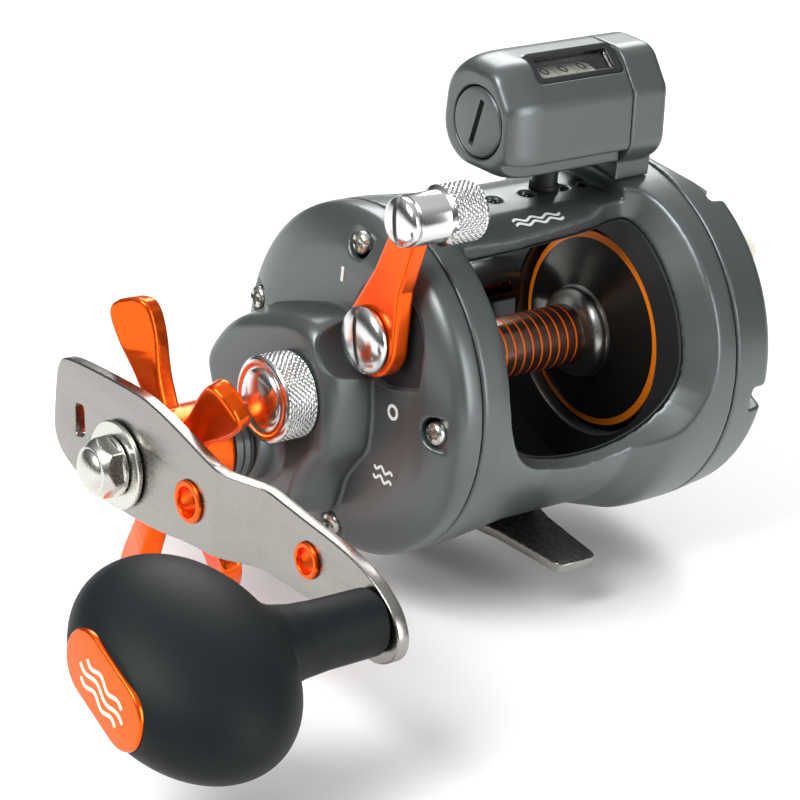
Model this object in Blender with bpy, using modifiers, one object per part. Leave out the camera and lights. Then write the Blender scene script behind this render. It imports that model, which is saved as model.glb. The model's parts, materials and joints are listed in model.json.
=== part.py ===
"""A levelwind trolling reel with a line counter, cranked with the left hand.

Every sub-part is one closed solid. X runs along the spool axis, +X to the palm side and -X to the handle,
+Y to the rod tip and +Z up. The origin is the middle of the foot's underside. Distances below are in
millimetres, x from the middle of the frame, and y and z from the spool axis.
"""

import math

import bmesh
import bpy
from mathutils import Matrix, Vector

MM = 0.001
GAP = 0.3

# Driving dimensions
AXIS_HEIGHT = 38.8
HANDLE_SEAM = -35.5
PALM_SEAM = 35.5
HANDLE_RADIUS = 39.5
PALM_RADIUS = 41.5
WAIST_RADIUS = 37.5
WAIST_WALL = 3.2
FRAME_BOTTOM = -38.5
BAR_TOP = 37.0
FOOT_SEAT = -36.2

SPOOL_RADIUS = 22.9
ARBOR_RADIUS = 7.0
SPOOL_BORE = 1.8
SPOOL_SHAFT_RADIUS = 1.5
WEB_HOLE = 24.5

MODULE = 0.75
MAIN_TEETH = 42
PINION_TEETH = 10
SPOOL_GEAR_TEETH = 12
IDLER_TEETH = 20
WORM_GEAR_TEETH = 24

CRANK_ANGLE = math.radians(-51.25)
CRANK_OFFSET = MODULE * (MAIN_TEETH + PINION_TEETH) / 2
CRANK = (CRANK_OFFSET * math.cos(CRANK_ANGLE), CRANK_OFFSET * math.sin(CRANK_ANGLE))
CRANK_SHAFT_RADIUS = 4.0
CRANK_BORE = CRANK_SHAFT_RADIUS + GAP

WORM_ANGLE = math.radians(3.2)
IDLER_OFFSET = MODULE * (SPOOL_GEAR_TEETH + IDLER_TEETH) / 2
WORM_OFFSET = IDLER_OFFSET + MODULE * (IDLER_TEETH + WORM_GEAR_TEETH) / 2
IDLER = (IDLER_OFFSET * math.cos(WORM_ANGLE), IDLER_OFFSET * math.sin(WORM_ANGLE))
WORM = (WORM_OFFSET * math.cos(WORM_ANGLE), WORM_OFFSET * math.sin(WORM_ANGLE))
WORM_RADIUS = 2.5
SHIELD_RADIUS = 5.2

PLATE_FACE = -45.0
PLATE_INNER_FACE = -42.8
BULGE_FACE = -56.5
BULGE_INNER_FACE = -54.3
CRANK_BOSS_RADIUS = 9.4
CRANK_BOSS_END = -62.5
TENSION_BOSS_RADIUS = 6.0

LEVER_PIVOT = (-15.2, 18.0)
BARREL = (-23.5, 48.2)
LEVER_BACK = -45.6
LEVER_FRONT = -50.0

ARM_TILT = math.radians(3.0)
ARM_FRONT = -92.0
ARM_THICKNESS = 3.0
ARM_STEP = 5.0
KNOB_SPOT = (83.9, -1.4)
INNER_HOLE = (26.5, 2.0)
OUTER_HOLE = (61.6, 2.2)

KNOB_MIDDLE = -131.6
KNOB_DEPTH = 21.2
KNOB_LENGTH = 26.6
KNOB_BREADTH = 14.6
KNOB_RISE = 0.9
KNOB_END = -149.6
KNOB_TILT = math.radians(20.0)

COUNTER_AXIS = (-0.5, 56.8)
COUNTER_LEFT = -14.5
COUNTER_SHOULDER = -6.5
COUNTER_RIGHT = 31.2
WHEEL_RADIUS = 9.6
WHEEL_WIDTH = 4.7

PARTS = bpy.data.collections.new("trolling_reel")
CUTTERS = bpy.data.collections.new("cutters")


def clear_scene():
    """Removes what the scene starts with and adds the two collections."""
    for item in list(bpy.data.objects):
        bpy.data.objects.remove(item, do_unlink=True)
    bpy.context.scene.collection.children.link(PARTS)
    bpy.context.scene.collection.children.link(CUTTERS)


def finish(name, colour, roughness, metallic):
    """A plain material for one kind of surface."""
    material = bpy.data.materials.new(name)
    material.use_nodes = True
    shader = material.node_tree.nodes["Principled BSDF"]
    shader.inputs["Base Color"].default_value = (*colour, 1.0)
    shader.inputs["Roughness"].default_value = roughness
    shader.inputs["Metallic"].default_value = metallic
    return material


FINISHES = {
    "gunmetal": finish("gunmetal", (0.115, 0.135, 0.135), 0.38, 0.6),
    "orange": finish("orange_anodised", (0.9, 0.16, 0.01), 0.28, 0.8),
    "silver": finish("silver", (0.7, 0.71, 0.7), 0.22, 1.0),
    "steel": finish("stainless_steel", (0.42, 0.42, 0.39), 0.3, 1.0),
    "dark": finish("dark_alloy", (0.05, 0.05, 0.048), 0.3, 0.8),
    "rubber": finish("soft_rubber", (0.03, 0.033, 0.036), 0.6, 0.0),
    "brass": finish("brass", (0.6, 0.42, 0.14), 0.35, 1.0),
    "fibre": finish("drag_fibre", (0.05, 0.045, 0.04), 0.8, 0.0),
    "glass": finish("window", (0.7, 0.75, 0.75), 0.1, 0.0),
    "ivory": finish("ivory_plastic", (0.75, 0.72, 0.62), 0.5, 0.0),
}


def place(point):
    """World metres of a point given from the middle of the frame and the spool axis."""
    x, y, z = point
    return (x * MM, y * MM, (z + AXIS_HEIGHT) * MM)


def put(name, mesh, finish_name, rotation=(0.0, 0.0, 0.0), origin=(0.0, 0.0, 0.0)):
    """Adds a mesh as a sub-part, or as a cutter when it has no finish."""
    item = bpy.data.objects.new(name, mesh)
    item.location = place(origin)
    item.rotation_euler = rotation
    if finish_name:
        item.data.materials.append(FINISHES[finish_name])
        PARTS.objects.link(item)
    else:
        CUTTERS.objects.link(item)
        item.hide_render = True
        item.display_type = "WIRE"
    return item


def turned(name, outline, centre, finish_name=None, sides=20, ring=False, axis="X", along=0.0):
    """A turned shape. The outline lists (place along the axis, radius) down its outer side, far end first."""
    mesh = bpy.data.meshes.new(name)
    points = [(radius * MM, 0.0, (distance - along) * MM) for distance, radius in outline]
    edges = [(i, i + 1) for i in range(len(points) - 1)]
    if ring:
        edges.append((len(points) - 1, 0))
    mesh.from_pydata(points, edges, [])
    if axis == "X":
        item = put(name, mesh, finish_name, (0.0, math.pi / 2, 0.0), (along, *centre))
    elif axis == "Y":
        item = put(name, mesh, finish_name, (-math.pi / 2, 0.0, 0.0), (centre[0], along, centre[1]))
    else:
        item = put(name, mesh, finish_name, (0.0, 0.0, 0.0), (*centre, along))
    screw = item.modifiers.new("turn", "SCREW")
    screw.steps = sides
    screw.render_steps = sides
    screw.use_merge_vertices = True
    screw.merge_threshold = 0.00001
    screw.use_smooth_shade = False
    return item


def rod(name, start, end, radius, centre, finish_name=None, sides=16, axis="X"):
    """A plain cylinder from start to end, with start below end."""
    outline = [(end, 0.0), (end, radius), (start, radius), (start, 0.0)]
    return turned(name, outline, centre, finish_name, sides, axis=axis)


def washer(name, start, end, inner, outer, centre, finish_name, sides=20):
    """A flat ring from start to end."""
    outline = [(end, outer), (start, outer), (start, inner), (end, inner)]
    return turned(name, outline, centre, finish_name, sides, ring=True)


def settled(item):
    """Turns an object into a plain welded mesh at the same place, with its modifiers applied."""
    bpy.context.view_layer.update()
    graph = bpy.context.evaluated_depsgraph_get()
    mesh = bpy.data.meshes.new_from_object(item.evaluated_get(graph))
    work = bmesh.new()
    work.from_mesh(mesh)
    bmesh.ops.remove_doubles(work, verts=work.verts, dist=0.000001)
    work.to_mesh(mesh)
    work.free()
    name = item.name
    target = item.users_collection[0]
    solid = bpy.data.objects.new(name + "_solid", mesh)
    solid.matrix_world = item.matrix_world.copy()
    solid.hide_render = item.hide_render
    solid.display_type = item.display_type
    target.objects.link(solid)
    bpy.data.objects.remove(item, do_unlink=True)
    solid.name = name
    return solid


def plate(name, outlines, low, high, finish_name=None, facing="X"):
    """A flat shape between low and high. The first outline is its edge and any others are holes."""
    curve = bpy.data.curves.new(name, "CURVE")
    curve.dimensions = "2D"
    curve.fill_mode = "BOTH"
    curve.extrude = (high - low) * MM / 2
    for outline in outlines:
        spline = curve.splines.new("POLY")
        spline.points.add(len(outline) - 1)
        spline.use_cyclic_u = True
        for knot, (across, up) in zip(spline.points, outline):
            knot.co = (across * MM, up * MM, 0.0, 1.0)
    middle = (low + high) / 2
    if facing == "X":
        item = put(name, curve, finish_name, (math.pi / 2, 0.0, math.pi / 2), (middle, 0.0, 0.0))
    elif facing == "Y":
        item = put(name, curve, finish_name, (math.pi / 2, 0.0, 0.0), (0.0, middle, 0.0))
    else:
        item = put(name, curve, finish_name, (0.0, 0.0, 0.0), (0.0, 0.0, middle))
    return settled(item)


def block(name, across, along, up, finish_name=None):
    """A box between two distances on each axis."""
    corners = [(across[i], along[j]) for i, j in ((0, 0), (1, 0), (1, 1), (0, 1))]
    return plate(name, [corners], up[0], up[1], finish_name, facing="Z")


def combine(item, tools, operation):
    """Joins all the tools to an object, or cuts them out of it, in one step."""
    group = bpy.data.collections.new(f"{item.name}_{operation.lower()}_{len(item.modifiers)}")
    CUTTERS.children.link(group)
    for tool in tools:
        for owner in list(tool.users_collection):
            owner.objects.unlink(tool)
        group.objects.link(tool)
        tool.hide_render = True
        tool.display_type = "WIRE"
    step = item.modifiers.new(operation.lower(), "BOOLEAN")
    step.operation = operation
    step.solver = "EXACT"
    step.operand_type = "COLLECTION"
    step.collection = group


def cut(item, *tools):
    """Cuts the tools out of an object."""
    combine(item, tools, "DIFFERENCE")


def join(item, *tools):
    """Joins the tools to an object."""
    combine(item, tools, "UNION")


def set_origin(item, point):
    """Moves an object's origin to a point and leaves its shape where it is."""
    bpy.context.view_layer.update()
    shift = item.matrix_world.inverted() @ Vector(place(point))
    item.data.transform(Matrix.Translation(-shift))
    item.matrix_world.translation = place(point)


def circle(centre, radius, sides=20):
    """Points round a circle."""
    turns = [2 * math.pi * i / sides for i in range(sides)]
    return [(centre[0] + radius * math.cos(t), centre[1] + radius * math.sin(t)) for t in turns]


def hull_of_discs(discs, sides=20):
    """The outline that a belt round the discs (y, z, radius) would take."""
    points = sorted({p for y, z, radius in discs for p in circle((y, z), radius, sides)})
    lower, upper = [], []
    for chain, order in ((lower, points), (upper, points[::-1])):
        for p in order:
            while len(chain) > 1 and turn(chain[-2], chain[-1], p) <= 1e-6:
                chain.pop()
            chain.append(p)
    return lower[:-1] + upper[:-1]


def turn(a, b, c):
    """Twice the signed area of a triangle: positive when a, b, c turn left."""
    return (b[0] - a[0]) * (c[1] - a[1]) - (b[1] - a[1]) * (c[0] - a[0])


def polar(radius, degrees):
    """A point (y, z) at an angle from straight up, positive towards the rod tip."""
    angle = math.radians(degrees)
    return (radius * math.sin(angle), radius * math.cos(angle))


def gear_outline(centre, teeth, tooth_angle):
    """A gear's edge with one tooth centred on tooth_angle."""
    pitch = 2 * math.pi / teeth
    tip = MODULE * (teeth / 2 + 0.6)
    root = MODULE * (teeth / 2 - 1.15)
    points = []
    for i in range(teeth):
        middle = tooth_angle + i * pitch
        for share, radius in ((-0.22, root), (-0.12, tip), (0.12, tip), (0.22, root)):
            angle = middle + share * pitch
            points.append((centre[0] + radius * math.cos(angle), centre[1] + radius * math.sin(angle)))
    return points


def arm_point(along, across):
    """A point (y, z) of the handle arm, from the crank axis towards the knob and then upwards."""
    y = CRANK[0] - along * math.cos(ARM_TILT) + across * math.sin(ARM_TILT)
    z = CRANK[1] + along * math.sin(ARM_TILT) + across * math.cos(ARM_TILT)
    return (y, z)


# ---------------------------------------------------------------- frame

BAR_SCREWS = (-5.8, 3.8, 13.3, 19.5)
FOOT_SCREWS = (-5.5, 5.5)


def window_cutter(name, rows):
    """A curved cutter that widens outwards. Each row is (degrees, left, right) inside and then outside."""
    inside, outside = WAIST_RADIUS - WAIST_WALL, PALM_RADIUS
    work = bmesh.new()
    grid = []
    for within, without in rows:
        line = []
        for reach, side in ((30.0, 1), (30.0, 2), (46.0, 2), (46.0, 1)):
            share = (reach - inside) / (outside - inside)
            y, z = polar(reach, within[0] + share * (without[0] - within[0]))
            x = within[side] + share * (without[side] - within[side])
            line.append(work.verts.new((x * MM, y * MM, z * MM)))
        grid.append(line)
    for line, after in zip(grid, grid[1:]):
        for i in range(4):
            j = (i + 1) % 4
            work.faces.new((line[i], line[j], after[j], after[i]))
    work.faces.new(grid[0])
    work.faces.new(grid[-1][::-1])
    bmesh.ops.triangulate(work, faces=work.faces)
    bmesh.ops.recalc_face_normals(work, faces=work.faces)
    mesh = bpy.data.meshes.new(name)
    work.to_mesh(mesh)
    work.free()
    return put(name, mesh, None)


def rear_window():
    """The rear opening: a plain edge at the handle side, a wide bevel at the palm side and below."""
    rows = [
        ((-25, -27.8, 20.0), (-24, -27.8, 24.0)),
        ((-31, -27.8, 23.5), (-31, -27.8, 27.5)),
        ((-41, -27.8, 24.8), (-41, -27.8, 29.0)),
        ((-53, -27.8, 25.0), (-53, -27.8, 29.3)),
        ((-66, -27.8, 25.0), (-66, -27.8, 29.6)),
        ((-78, -27.8, 24.9), (-78, -27.8, 29.2)),
        ((-88, -26.3, 23.4), (-89, -26.3, 27.6)),
        ((-97, -22.5, 19.5), (-100, -22.5, 23.2)),
        ((-104, -16.0, 14.5), (-107, -16.0, 17.0)),
        ((-109, -5.0, 4.0), (-112.5, -3.0, 6.0)),
    ]
    return window_cutter("rear_window", rows)


def front_window():
    """The front opening, where the line leaves."""
    degrees = (22, 38, 54, 70, 86, 102, 118)
    rows = [((d, -27.8, 25.0), (d, -27.8, 25.0)) for d in degrees]
    rows.append(((124, -23.0, 20.0), (124, -23.0, 20.0)))
    return window_cutter("front_window", rows)


def make_frame():
    """One piece: two rings, the top bar, the bottom and the wall behind each ring."""
    inner = WAIST_RADIUS - WAIST_WALL
    outline = [
        (PALM_SEAM, PALM_RADIUS), (24.0, PALM_RADIUS), (18.0, 39.4), (12.0, WAIST_RADIUS),
        (-12.0, WAIST_RADIUS), (-22.0, 38.6), (-30.0, 39.4), (HANDLE_SEAM, HANDLE_RADIUS),
        (HANDLE_SEAM, WEB_HOLE), (-32.0, WEB_HOLE), (-32.0, inner), (26.5, inner),
        (26.5, WEB_HOLE), (30.5, WEB_HOLE), (30.5, 38.6), (PALM_SEAM, 38.6),
    ]
    frame = turned("frame", outline, (0.0, 0.0), "gunmetal", 48, ring=True)
    tools = [
        rear_window(),
        front_window(),
        block("bar_flat", (-26, 22), (-20, 20), (BAR_TOP, 50)),
        block("foot_flat", (-18, 25.6), (-30, 30), (-60, FOOT_SEAT)),
        block("bottom_flat", (-60, 60), (-30, 30), (-60, FRAME_BOTTOM)),
        rod("worm_holes", -40.0, 32.0, WORM_RADIUS + GAP, WORM),
    ]
    for i, x in enumerate(BAR_SCREWS):
        tools.append(rod(f"bar_hole_{i + 1}", BAR_TOP - 1.6, 42.0, 1.4, (x, 0.8), sides=12, axis="Z"))
    for i, x in enumerate(FOOT_SCREWS):
        tools.append(rod(f"seat_hole_{i + 1}", -42.0, -30.0, 1.8, (x, 0.0), sides=12, axis="Z"))
    cut(frame, *tools)
    return frame


def make_foot():
    """The stainless foot that clamps to the rod's reel seat, thick in the middle and thin at the tips."""
    quarter = [(10.0, 8.0), (7.6, 17.0), (5.8, 35.0), (4.2, 36.6)]
    rear = [(w, -y) for w, y in quarter] + [(-w, -y) for w, y in reversed(quarter)]
    front = [(-w, y) for w, y in quarter] + [(w, y) for w, y in reversed(quarter)]
    foot = plate("reel_foot", [rear + front], -AXIS_HEIGHT, FOOT_SEAT - GAP, "steel", facing="Z")
    tools = []
    for side in (-1, 1):
        slope = [(side * 12, -34), (side * 45, -34), (side * 45, -37.6)]
        tools.append(plate(f"foot_slope_{side}", [slope], -20.0, 20.0))
    for i, x in enumerate(FOOT_SCREWS):
        hole = [(-30.0, 0.0), (-30.0, 1.8), (-37.4, 1.8), (-37.4, 3.4), (-45.0, 3.4), (-45.0, 0.0)]
        tools.append(turned(f"foot_hole_{i + 1}", hole, (x, 0.0), sides=14, axis="Z"))
        head = [(-34.8, 0.0), (-34.8, 1.4), (-37.7, 1.4), (-37.7, 3.0), (-38.6, 3.0), (-38.6, 0.0)]
        turned(f"foot_screw_{i + 1}", head, (x, 0.0), "steel", 12, axis="Z")
    cut(foot, *tools)
    return foot


# ---------------------------------------------------------------- side plates

PLATE_SCREWS = (polar(33.6, -2), polar(32.9, -86), polar(33.6, 183), polar(33.6, 78))
PALM_SCREWS = (polar(35.8, -22), polar(35.8, -95), polar(35.8, 160), polar(35.8, 75))


def bulge(name, discs, low, high, shrink, middle, finish_name=None):
    """A raised block over the discs whose far end at low is smaller by the shrink factor."""
    item = plate(name, [hull_of_discs(discs)], low, high, finish_name)
    for vertex in item.data.vertices:
        if vertex.co.z < 0:
            vertex.co.x = middle[0] * MM + (vertex.co.x - middle[0] * MM) * shrink
            vertex.co.y = middle[1] * MM + (vertex.co.y - middle[1] * MM) * shrink
    return item


def post_places():
    """The two posts that the yoke slides on, square to the line from the spool axis to the crank."""
    reach = 12.9
    side = CRANK_ANGLE + math.pi / 2
    return [(sign * reach * math.cos(side), sign * reach * math.sin(side)) for sign in (1, -1)]


def make_handle_plate():
    """The gear cover: a shallow cup with a raised gear house, a crank boss and a tension boss."""
    cup = [
        (PLATE_INNER_FACE, 0.0), (PLATE_INNER_FACE, 31.0), (-40.6, 36.2), (HANDLE_SEAM - GAP, 37.0),
        (HANDLE_SEAM - GAP, HANDLE_RADIUS), (-40.4, HANDLE_RADIUS), (-41.7, 37.7), (-43.4, 34.2),
        (-44.6, 31.0), (PLATE_FACE, 28.0), (PLATE_FACE, 0.0),
    ]
    cover = turned("handle_side_plate", cup, (0.0, 0.0), "gunmetal", 44)
    discs = [(*CRANK, 19.8), (-12.0, 5.5, 6.5), (-12.5, -20.0, 6.5), (2.0, 8.0, 11.0), (21.0, -1.0, 11.5)]
    added = [
        bulge("gear_house", discs, BULGE_FACE, PLATE_INNER_FACE - 0.8, 0.94, (7.0, -9.0)),
        rod("crank_boss", CRANK_BOSS_END, BULGE_FACE + 1, CRANK_BOSS_RADIUS, CRANK, sides=24),
        rod("tension_boss", CRANK_BOSS_END, BULGE_FACE + 1, TENSION_BOSS_RADIUS, (0.0, 0.0)),
    ]
    for i, spot in enumerate(PLATE_SCREWS):
        start, end = PLATE_INNER_FACE - 0.8, HANDLE_SEAM - 1.0
        added.append(rod(f"screw_boss_{i + 1}", start, end, 3.6, spot, sides=12))
    join(cover, *added)
    bearing = [(-54.0, 0.0), (-54.0, 4.7), (-59.2, 4.7), (-59.2, 2.2), (-70.0, 2.2), (-70.0, 0.0)]
    posts = [(*spot, 4.2) for spot in post_places()]
    pocket = [(*LEVER_PIVOT, 11.6), (-26.4, 10.6, 0.8)]
    tools = [
        rod("gear_room", BULGE_INNER_FACE, PLATE_INNER_FACE + 0.5, 17.6, CRANK, sides=28),
        rod("pinion_room", BULGE_INNER_FACE, PLATE_INNER_FACE + 0.5, 6.5, (0.0, 0.0)),
        plate("yoke_room", [hull_of_discs(posts, 14)], -49.2, PLATE_INNER_FACE + 0.5),
        turned("bearing_seat", bearing, (0.0, 0.0), sides=16),
        rod("crank_hole", -70.0, -50.0, CRANK_BORE, CRANK),
        plate("lever_pocket", [hull_of_discs(pocket)], -60.0, PLATE_FACE + 0.7),
        rod("pivot_hole", -50.0, -40.0, 3.2, LEVER_PIVOT),
        block("cover_flat", (-60, -30), (-30, 30), (-60, FRAME_BOTTOM)),
    ]
    for i, spot in enumerate(PLATE_SCREWS):
        head = [(-30.0, 0.0), (-30.0, 1.6), (-42.4, 1.6), (-42.4, 3.4), (-50.0, 3.4), (-50.0, 0.0)]
        tools.append(turned(f"screw_hole_{i + 1}", head, spot, sides=12))
        shape = [
            (-36.4, 0.0), (-36.4, 1.3), (-42.7, 1.3), (-42.7, 2.4), (-43.9, 2.4), (-44.5, 1.5), (-44.5, 0.0),
        ]
        turned(f"plate_screw_{i + 1}", shape, spot, "steel", 12)
    cut(cover, *tools)
    return cover


def make_palm_plate():
    """The palm cover: a domed cup with a bearing boss, an idler boss and four screw recesses."""
    cup = [
        (49.6, 0.0), (49.6, 33.0), (48.6, 37.4), (46.2, 40.2), (PALM_SEAM + GAP, PALM_RADIUS),
        (PALM_SEAM + GAP, 38.8), (44.0, 36.0), (46.6, 30.0), (46.6, 0.0),
    ]
    cover = turned("palm_side_plate", cup, (0.0, 0.0), "gunmetal", 44)
    added = [
        rod("palm_bearing_boss", 40.8, 47.5, 6.6, (0.0, 0.0)),
        rod("idler_boss", 36.6, 47.5, 3.2, IDLER),
    ]
    for i, spot in enumerate(PALM_SCREWS):
        added.append(rod(f"palm_screw_boss_{i + 1}", PALM_SEAM + 1.3, 46.0, 3.9, spot, sides=12))
    join(cover, *added)
    tools = [
        rod("palm_bearing_seat", 38.0, 45.6, 4.8, (0.0, 0.0)),
        rod("idler_seat", 30.0, 42.0, 1.7, IDLER),
        clicker_slot(),
        block("palm_flat", (30, 60), (-30, 30), (-60, FRAME_BOTTOM)),
        plate("palm_slope", [[(33, 44.0), (53, 32.4), (53, 50), (33, 50)]], -24.0, 30.0, facing="Y"),
    ]
    for i, spot in enumerate(PALM_SCREWS):
        head = [(60.0, 0.0), (60.0, 3.2), (42.4, 3.2), (42.4, 1.6), (30.0, 1.6), (30.0, 0.0)]
        tools.append(turned(f"palm_screw_hole_{i + 1}", head, spot, sides=12))
    for i, spot in enumerate(PALM_SCREWS[:3]):
        shape = [(44.4, 0.0), (44.4, 1.5), (43.9, 2.4), (42.7, 2.4), (42.7, 1.3), (36.4, 1.3), (36.4, 0.0)]
        turned(f"palm_screw_{i + 1}", shape, spot, "steel", 12)
    cut(cover, *tools)
    return cover


CLICKER_ANGLE = -42
CLICKER_OUT = 33.0
CLICKER_TRAVEL = 4.0


def clicker_slot():
    """The slot that the clicker button's stem slides along."""
    inmost = CLICKER_OUT - CLICKER_TRAVEL
    ends = [(*polar(CLICKER_OUT, CLICKER_ANGLE), 1.6), (*polar(inmost, CLICKER_ANGLE), 1.6)]
    return plate("clicker_slot", [hull_of_discs(ends, 16)], 40.0, 60.0)


def make_clicker():
    """The sliding button that turns the line-out clicker on."""
    spot = polar(CLICKER_OUT, CLICKER_ANGLE)
    outline = [(53.0, 0.0), (53.0, 2.2), (52.2, 3.0), (49.9, 3.0), (49.9, 1.3), (45.4, 1.3), (45.4, 0.0)]
    turned("clicker_button", outline, spot, "ivory", 14)


# ---------------------------------------------------------------- spool and gears

def make_spool():
    """The spool with dished flanges, its shaft, its two bearings and the gear that drives the levelwind."""
    outline = [
        (29.7, SPOOL_RADIUS), (28.4, SPOOL_RADIUS), (25.0, 12.0), (24.2, 8.8), (22.0, ARBOR_RADIUS),
        (-26.0, ARBOR_RADIUS), (-28.2, 8.8), (-29.0, 12.0), (-32.7, SPOOL_RADIUS), (-34.0, SPOOL_RADIUS),
        (-34.0, 21.6), (-30.8, 12.0), (-30.6, SPOOL_BORE), (26.6, SPOOL_BORE), (26.6, 12.0), (29.7, 21.6),
    ]
    turned("spool", outline, (0.0, 0.0), "dark", 36, ring=True)
    rod("spool_shaft", -60.6, 45.2, SPOOL_SHAFT_RADIUS, (0.0, 0.0), "steel", 16)
    washer("spool_bearing_handle", -58.8, -55.8, SPOOL_BORE, 4.4, (0.0, 0.0), "steel", 16)
    washer("spool_bearing_palm", 41.4, 44.4, SPOOL_BORE, 4.5, (0.0, 0.0), "steel", 16)
    holes = [circle((0.0, 0.0), SPOOL_BORE, 16)]
    gear = gear_outline((0.0, 0.0), SPOOL_GEAR_TEETH, WORM_ANGLE)
    plate("spool_gear", [gear] + holes, 31.2, 33.7, "brass")


def make_idler_and_worm():
    """The idler, the worm gear and the worm shaft that carries the line guide across."""
    gap_angle = WORM_ANGLE + math.pi + math.pi / IDLER_TEETH
    idler = plate("idler_gear", [gear_outline(IDLER, IDLER_TEETH, gap_angle)], 31.2, 33.7, "brass")
    join(idler, rod("idler_axle", 30.8, 41.0, 1.4, IDLER, sides=16))
    set_origin(idler, (0.0, *IDLER))
    bore = circle(WORM, WORM_RADIUS + GAP - 0.1, 14)
    gear = gear_outline(WORM, WORM_GEAR_TEETH, WORM_ANGLE + math.pi)
    worm_gear = plate("worm_gear", [gear, bore], 31.2, 33.7, "brass")
    set_origin(worm_gear, (0.0, *WORM))
    rod("worm_shaft", -34.6, 35.0, WORM_RADIUS, WORM, "orange", 20)


def make_crank_train():
    """The crank shaft and what turns with it inside the gear house."""
    outline = [
        (-36.3, 0.0), (-36.3, 2.9), (-38.6, 2.9), (-38.6, CRANK_SHAFT_RADIUS), (-88.6, CRANK_SHAFT_RADIUS),
        (-88.6, 3.2), (-99.0, 3.2), (-99.0, 0.0),
    ]
    turned("main_shaft", outline, CRANK, "steel", 20)
    towards_pinion = CRANK_ANGLE + math.pi
    gear = gear_outline(CRANK, MAIN_TEETH, towards_pinion + math.pi / MAIN_TEETH)
    main_gear = plate("main_gear", [gear, circle(CRANK, CRANK_BORE)], -48.5, -44.5, "brass")
    set_origin(main_gear, (0.0, *CRANK))
    washer("drag_fibre_washer_1", -49.8, -48.8, CRANK_BORE, 12.6, CRANK, "fibre")
    washer("drag_metal_washer", -51.3, -50.1, CRANK_BORE, 12.6, CRANK, "steel")
    washer("drag_fibre_washer_2", -52.7, -51.6, CRANK_BORE, 12.6, CRANK, "fibre")
    ratchet = plate("ratchet_wheel", [ratchet_outline(), circle(CRANK, CRANK_BORE)], -41.2, -39.2, "steel")
    set_origin(ratchet, (0.0, *CRANK))


RATCHET_TEETH = 12
RATCHET_RADIUS = 10.6


def ratchet_outline():
    """A saw-toothed edge round the crank axis."""
    points = []
    pitch = 2 * math.pi / RATCHET_TEETH
    for i in range(RATCHET_TEETH):
        steps = ((0.0, RATCHET_RADIUS), (0.12, RATCHET_RADIUS - 2.0), (0.55, RATCHET_RADIUS - 1.3))
        for share, radius in steps:
            angle = (i + share) * pitch
            points.append((CRANK[0] + radius * math.cos(angle), CRANK[1] + radius * math.sin(angle)))
    return points


DOG_PIVOT = (25.4, -4.2)


def make_dog():
    """The anti-reverse dog that drops into the ratchet."""
    discs = [(*DOG_PIVOT, 2.4), (DOG_PIVOT[0] - 4.9, DOG_PIVOT[1] - 2.8, 0.7)]
    dog = plate("anti_reverse_dog", [hull_of_discs(discs, 16)], -41.0, -39.4, "steel")
    join(dog, rod("dog_pin", -42.2, -38.5, 1.2, DOG_PIVOT, sides=16))
    set_origin(dog, (0.0, *DOG_PIVOT))


def make_bridge():
    """The plate that carries the crank's inner end and the two yoke posts."""
    holes = [circle((0.0, 0.0), 6.0), circle(CRANK, 3.3, 20)]
    bridge = plate("bridge_plate", [circle((0.0, 0.0), 28.6, 32)] + holes, -38.2, -36.3, "dark")
    posts = []
    for i, spot in enumerate(post_places()):
        posts.append(rod(f"yoke_post_{i + 1}", -48.6, -37.0, 1.4, spot, sides=12))
    join(bridge, *posts)


def make_pinion():
    """The pinion and the forked yoke that draws it off the spool shaft."""
    body = [
        (-37.2, 4.6), (-39.9, 4.6), (-39.9, 2.6), (-49.3, 2.6), (-49.3, SPOOL_BORE), (-37.2, SPOOL_BORE),
    ]
    pinion = turned("pinion_gear", body, (0.0, 0.0), "brass", 16, ring=True)
    holes = [circle((0.0, 0.0), 2.2, 16)]
    toothed = gear_outline((0.0, 0.0), PINION_TEETH, CRANK_ANGLE)
    teeth = plate("pinion_teeth", [toothed] + holes, -49.3, -41.8)
    join(pinion, teeth)
    ends = [(*spot, 3.2) for spot in post_places()]
    holes = [circle(spot, 1.75, 12) for spot in post_places()]
    yoke = plate("pinion_yoke", [hull_of_discs(ends, 14)] + holes, -41.4, -40.3, "steel")
    away = CRANK_ANGLE + math.pi
    slot = [(0.0, 0.0, 3.1), (12.0 * math.cos(away), 12.0 * math.sin(away), 3.1)]
    join(yoke, rod("yoke_ring", -41.4, -40.3, 5.9, (0.0, 0.0)))
    cut(yoke, plate("yoke_slot", [hull_of_discs(slot, 20)], -50.0, -35.0))


def make_springs():
    """The two coil springs that push the yoke back towards the spool."""
    turns, per_turn, coil_radius, wire_radius = 2.5, 10, 2.35, 0.35
    start, end = -43.6, -48.6
    count = int(turns * per_turn) + 1
    for number, (y, z) in enumerate(post_places()):
        curve = bpy.data.curves.new("spring", "CURVE")
        curve.dimensions = "3D"
        curve.bevel_depth = wire_radius * MM
        curve.bevel_resolution = 1
        curve.use_fill_caps = True
        spline = curve.splines.new("POLY")
        spline.points.add(count - 1)
        for i, knot in enumerate(spline.points):
            share = i / (count - 1)
            angle = 2 * math.pi * turns * share
            x = start + (end - start) * share
            knot.co = (x * MM, coil_radius * math.cos(angle) * MM, coil_radius * math.sin(angle) * MM, 1.0)
        put(f"yoke_spring_{number + 1}", curve, "steel", origin=(0.0, y, z))


# ---------------------------------------------------------------- crank outside the plate

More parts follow.
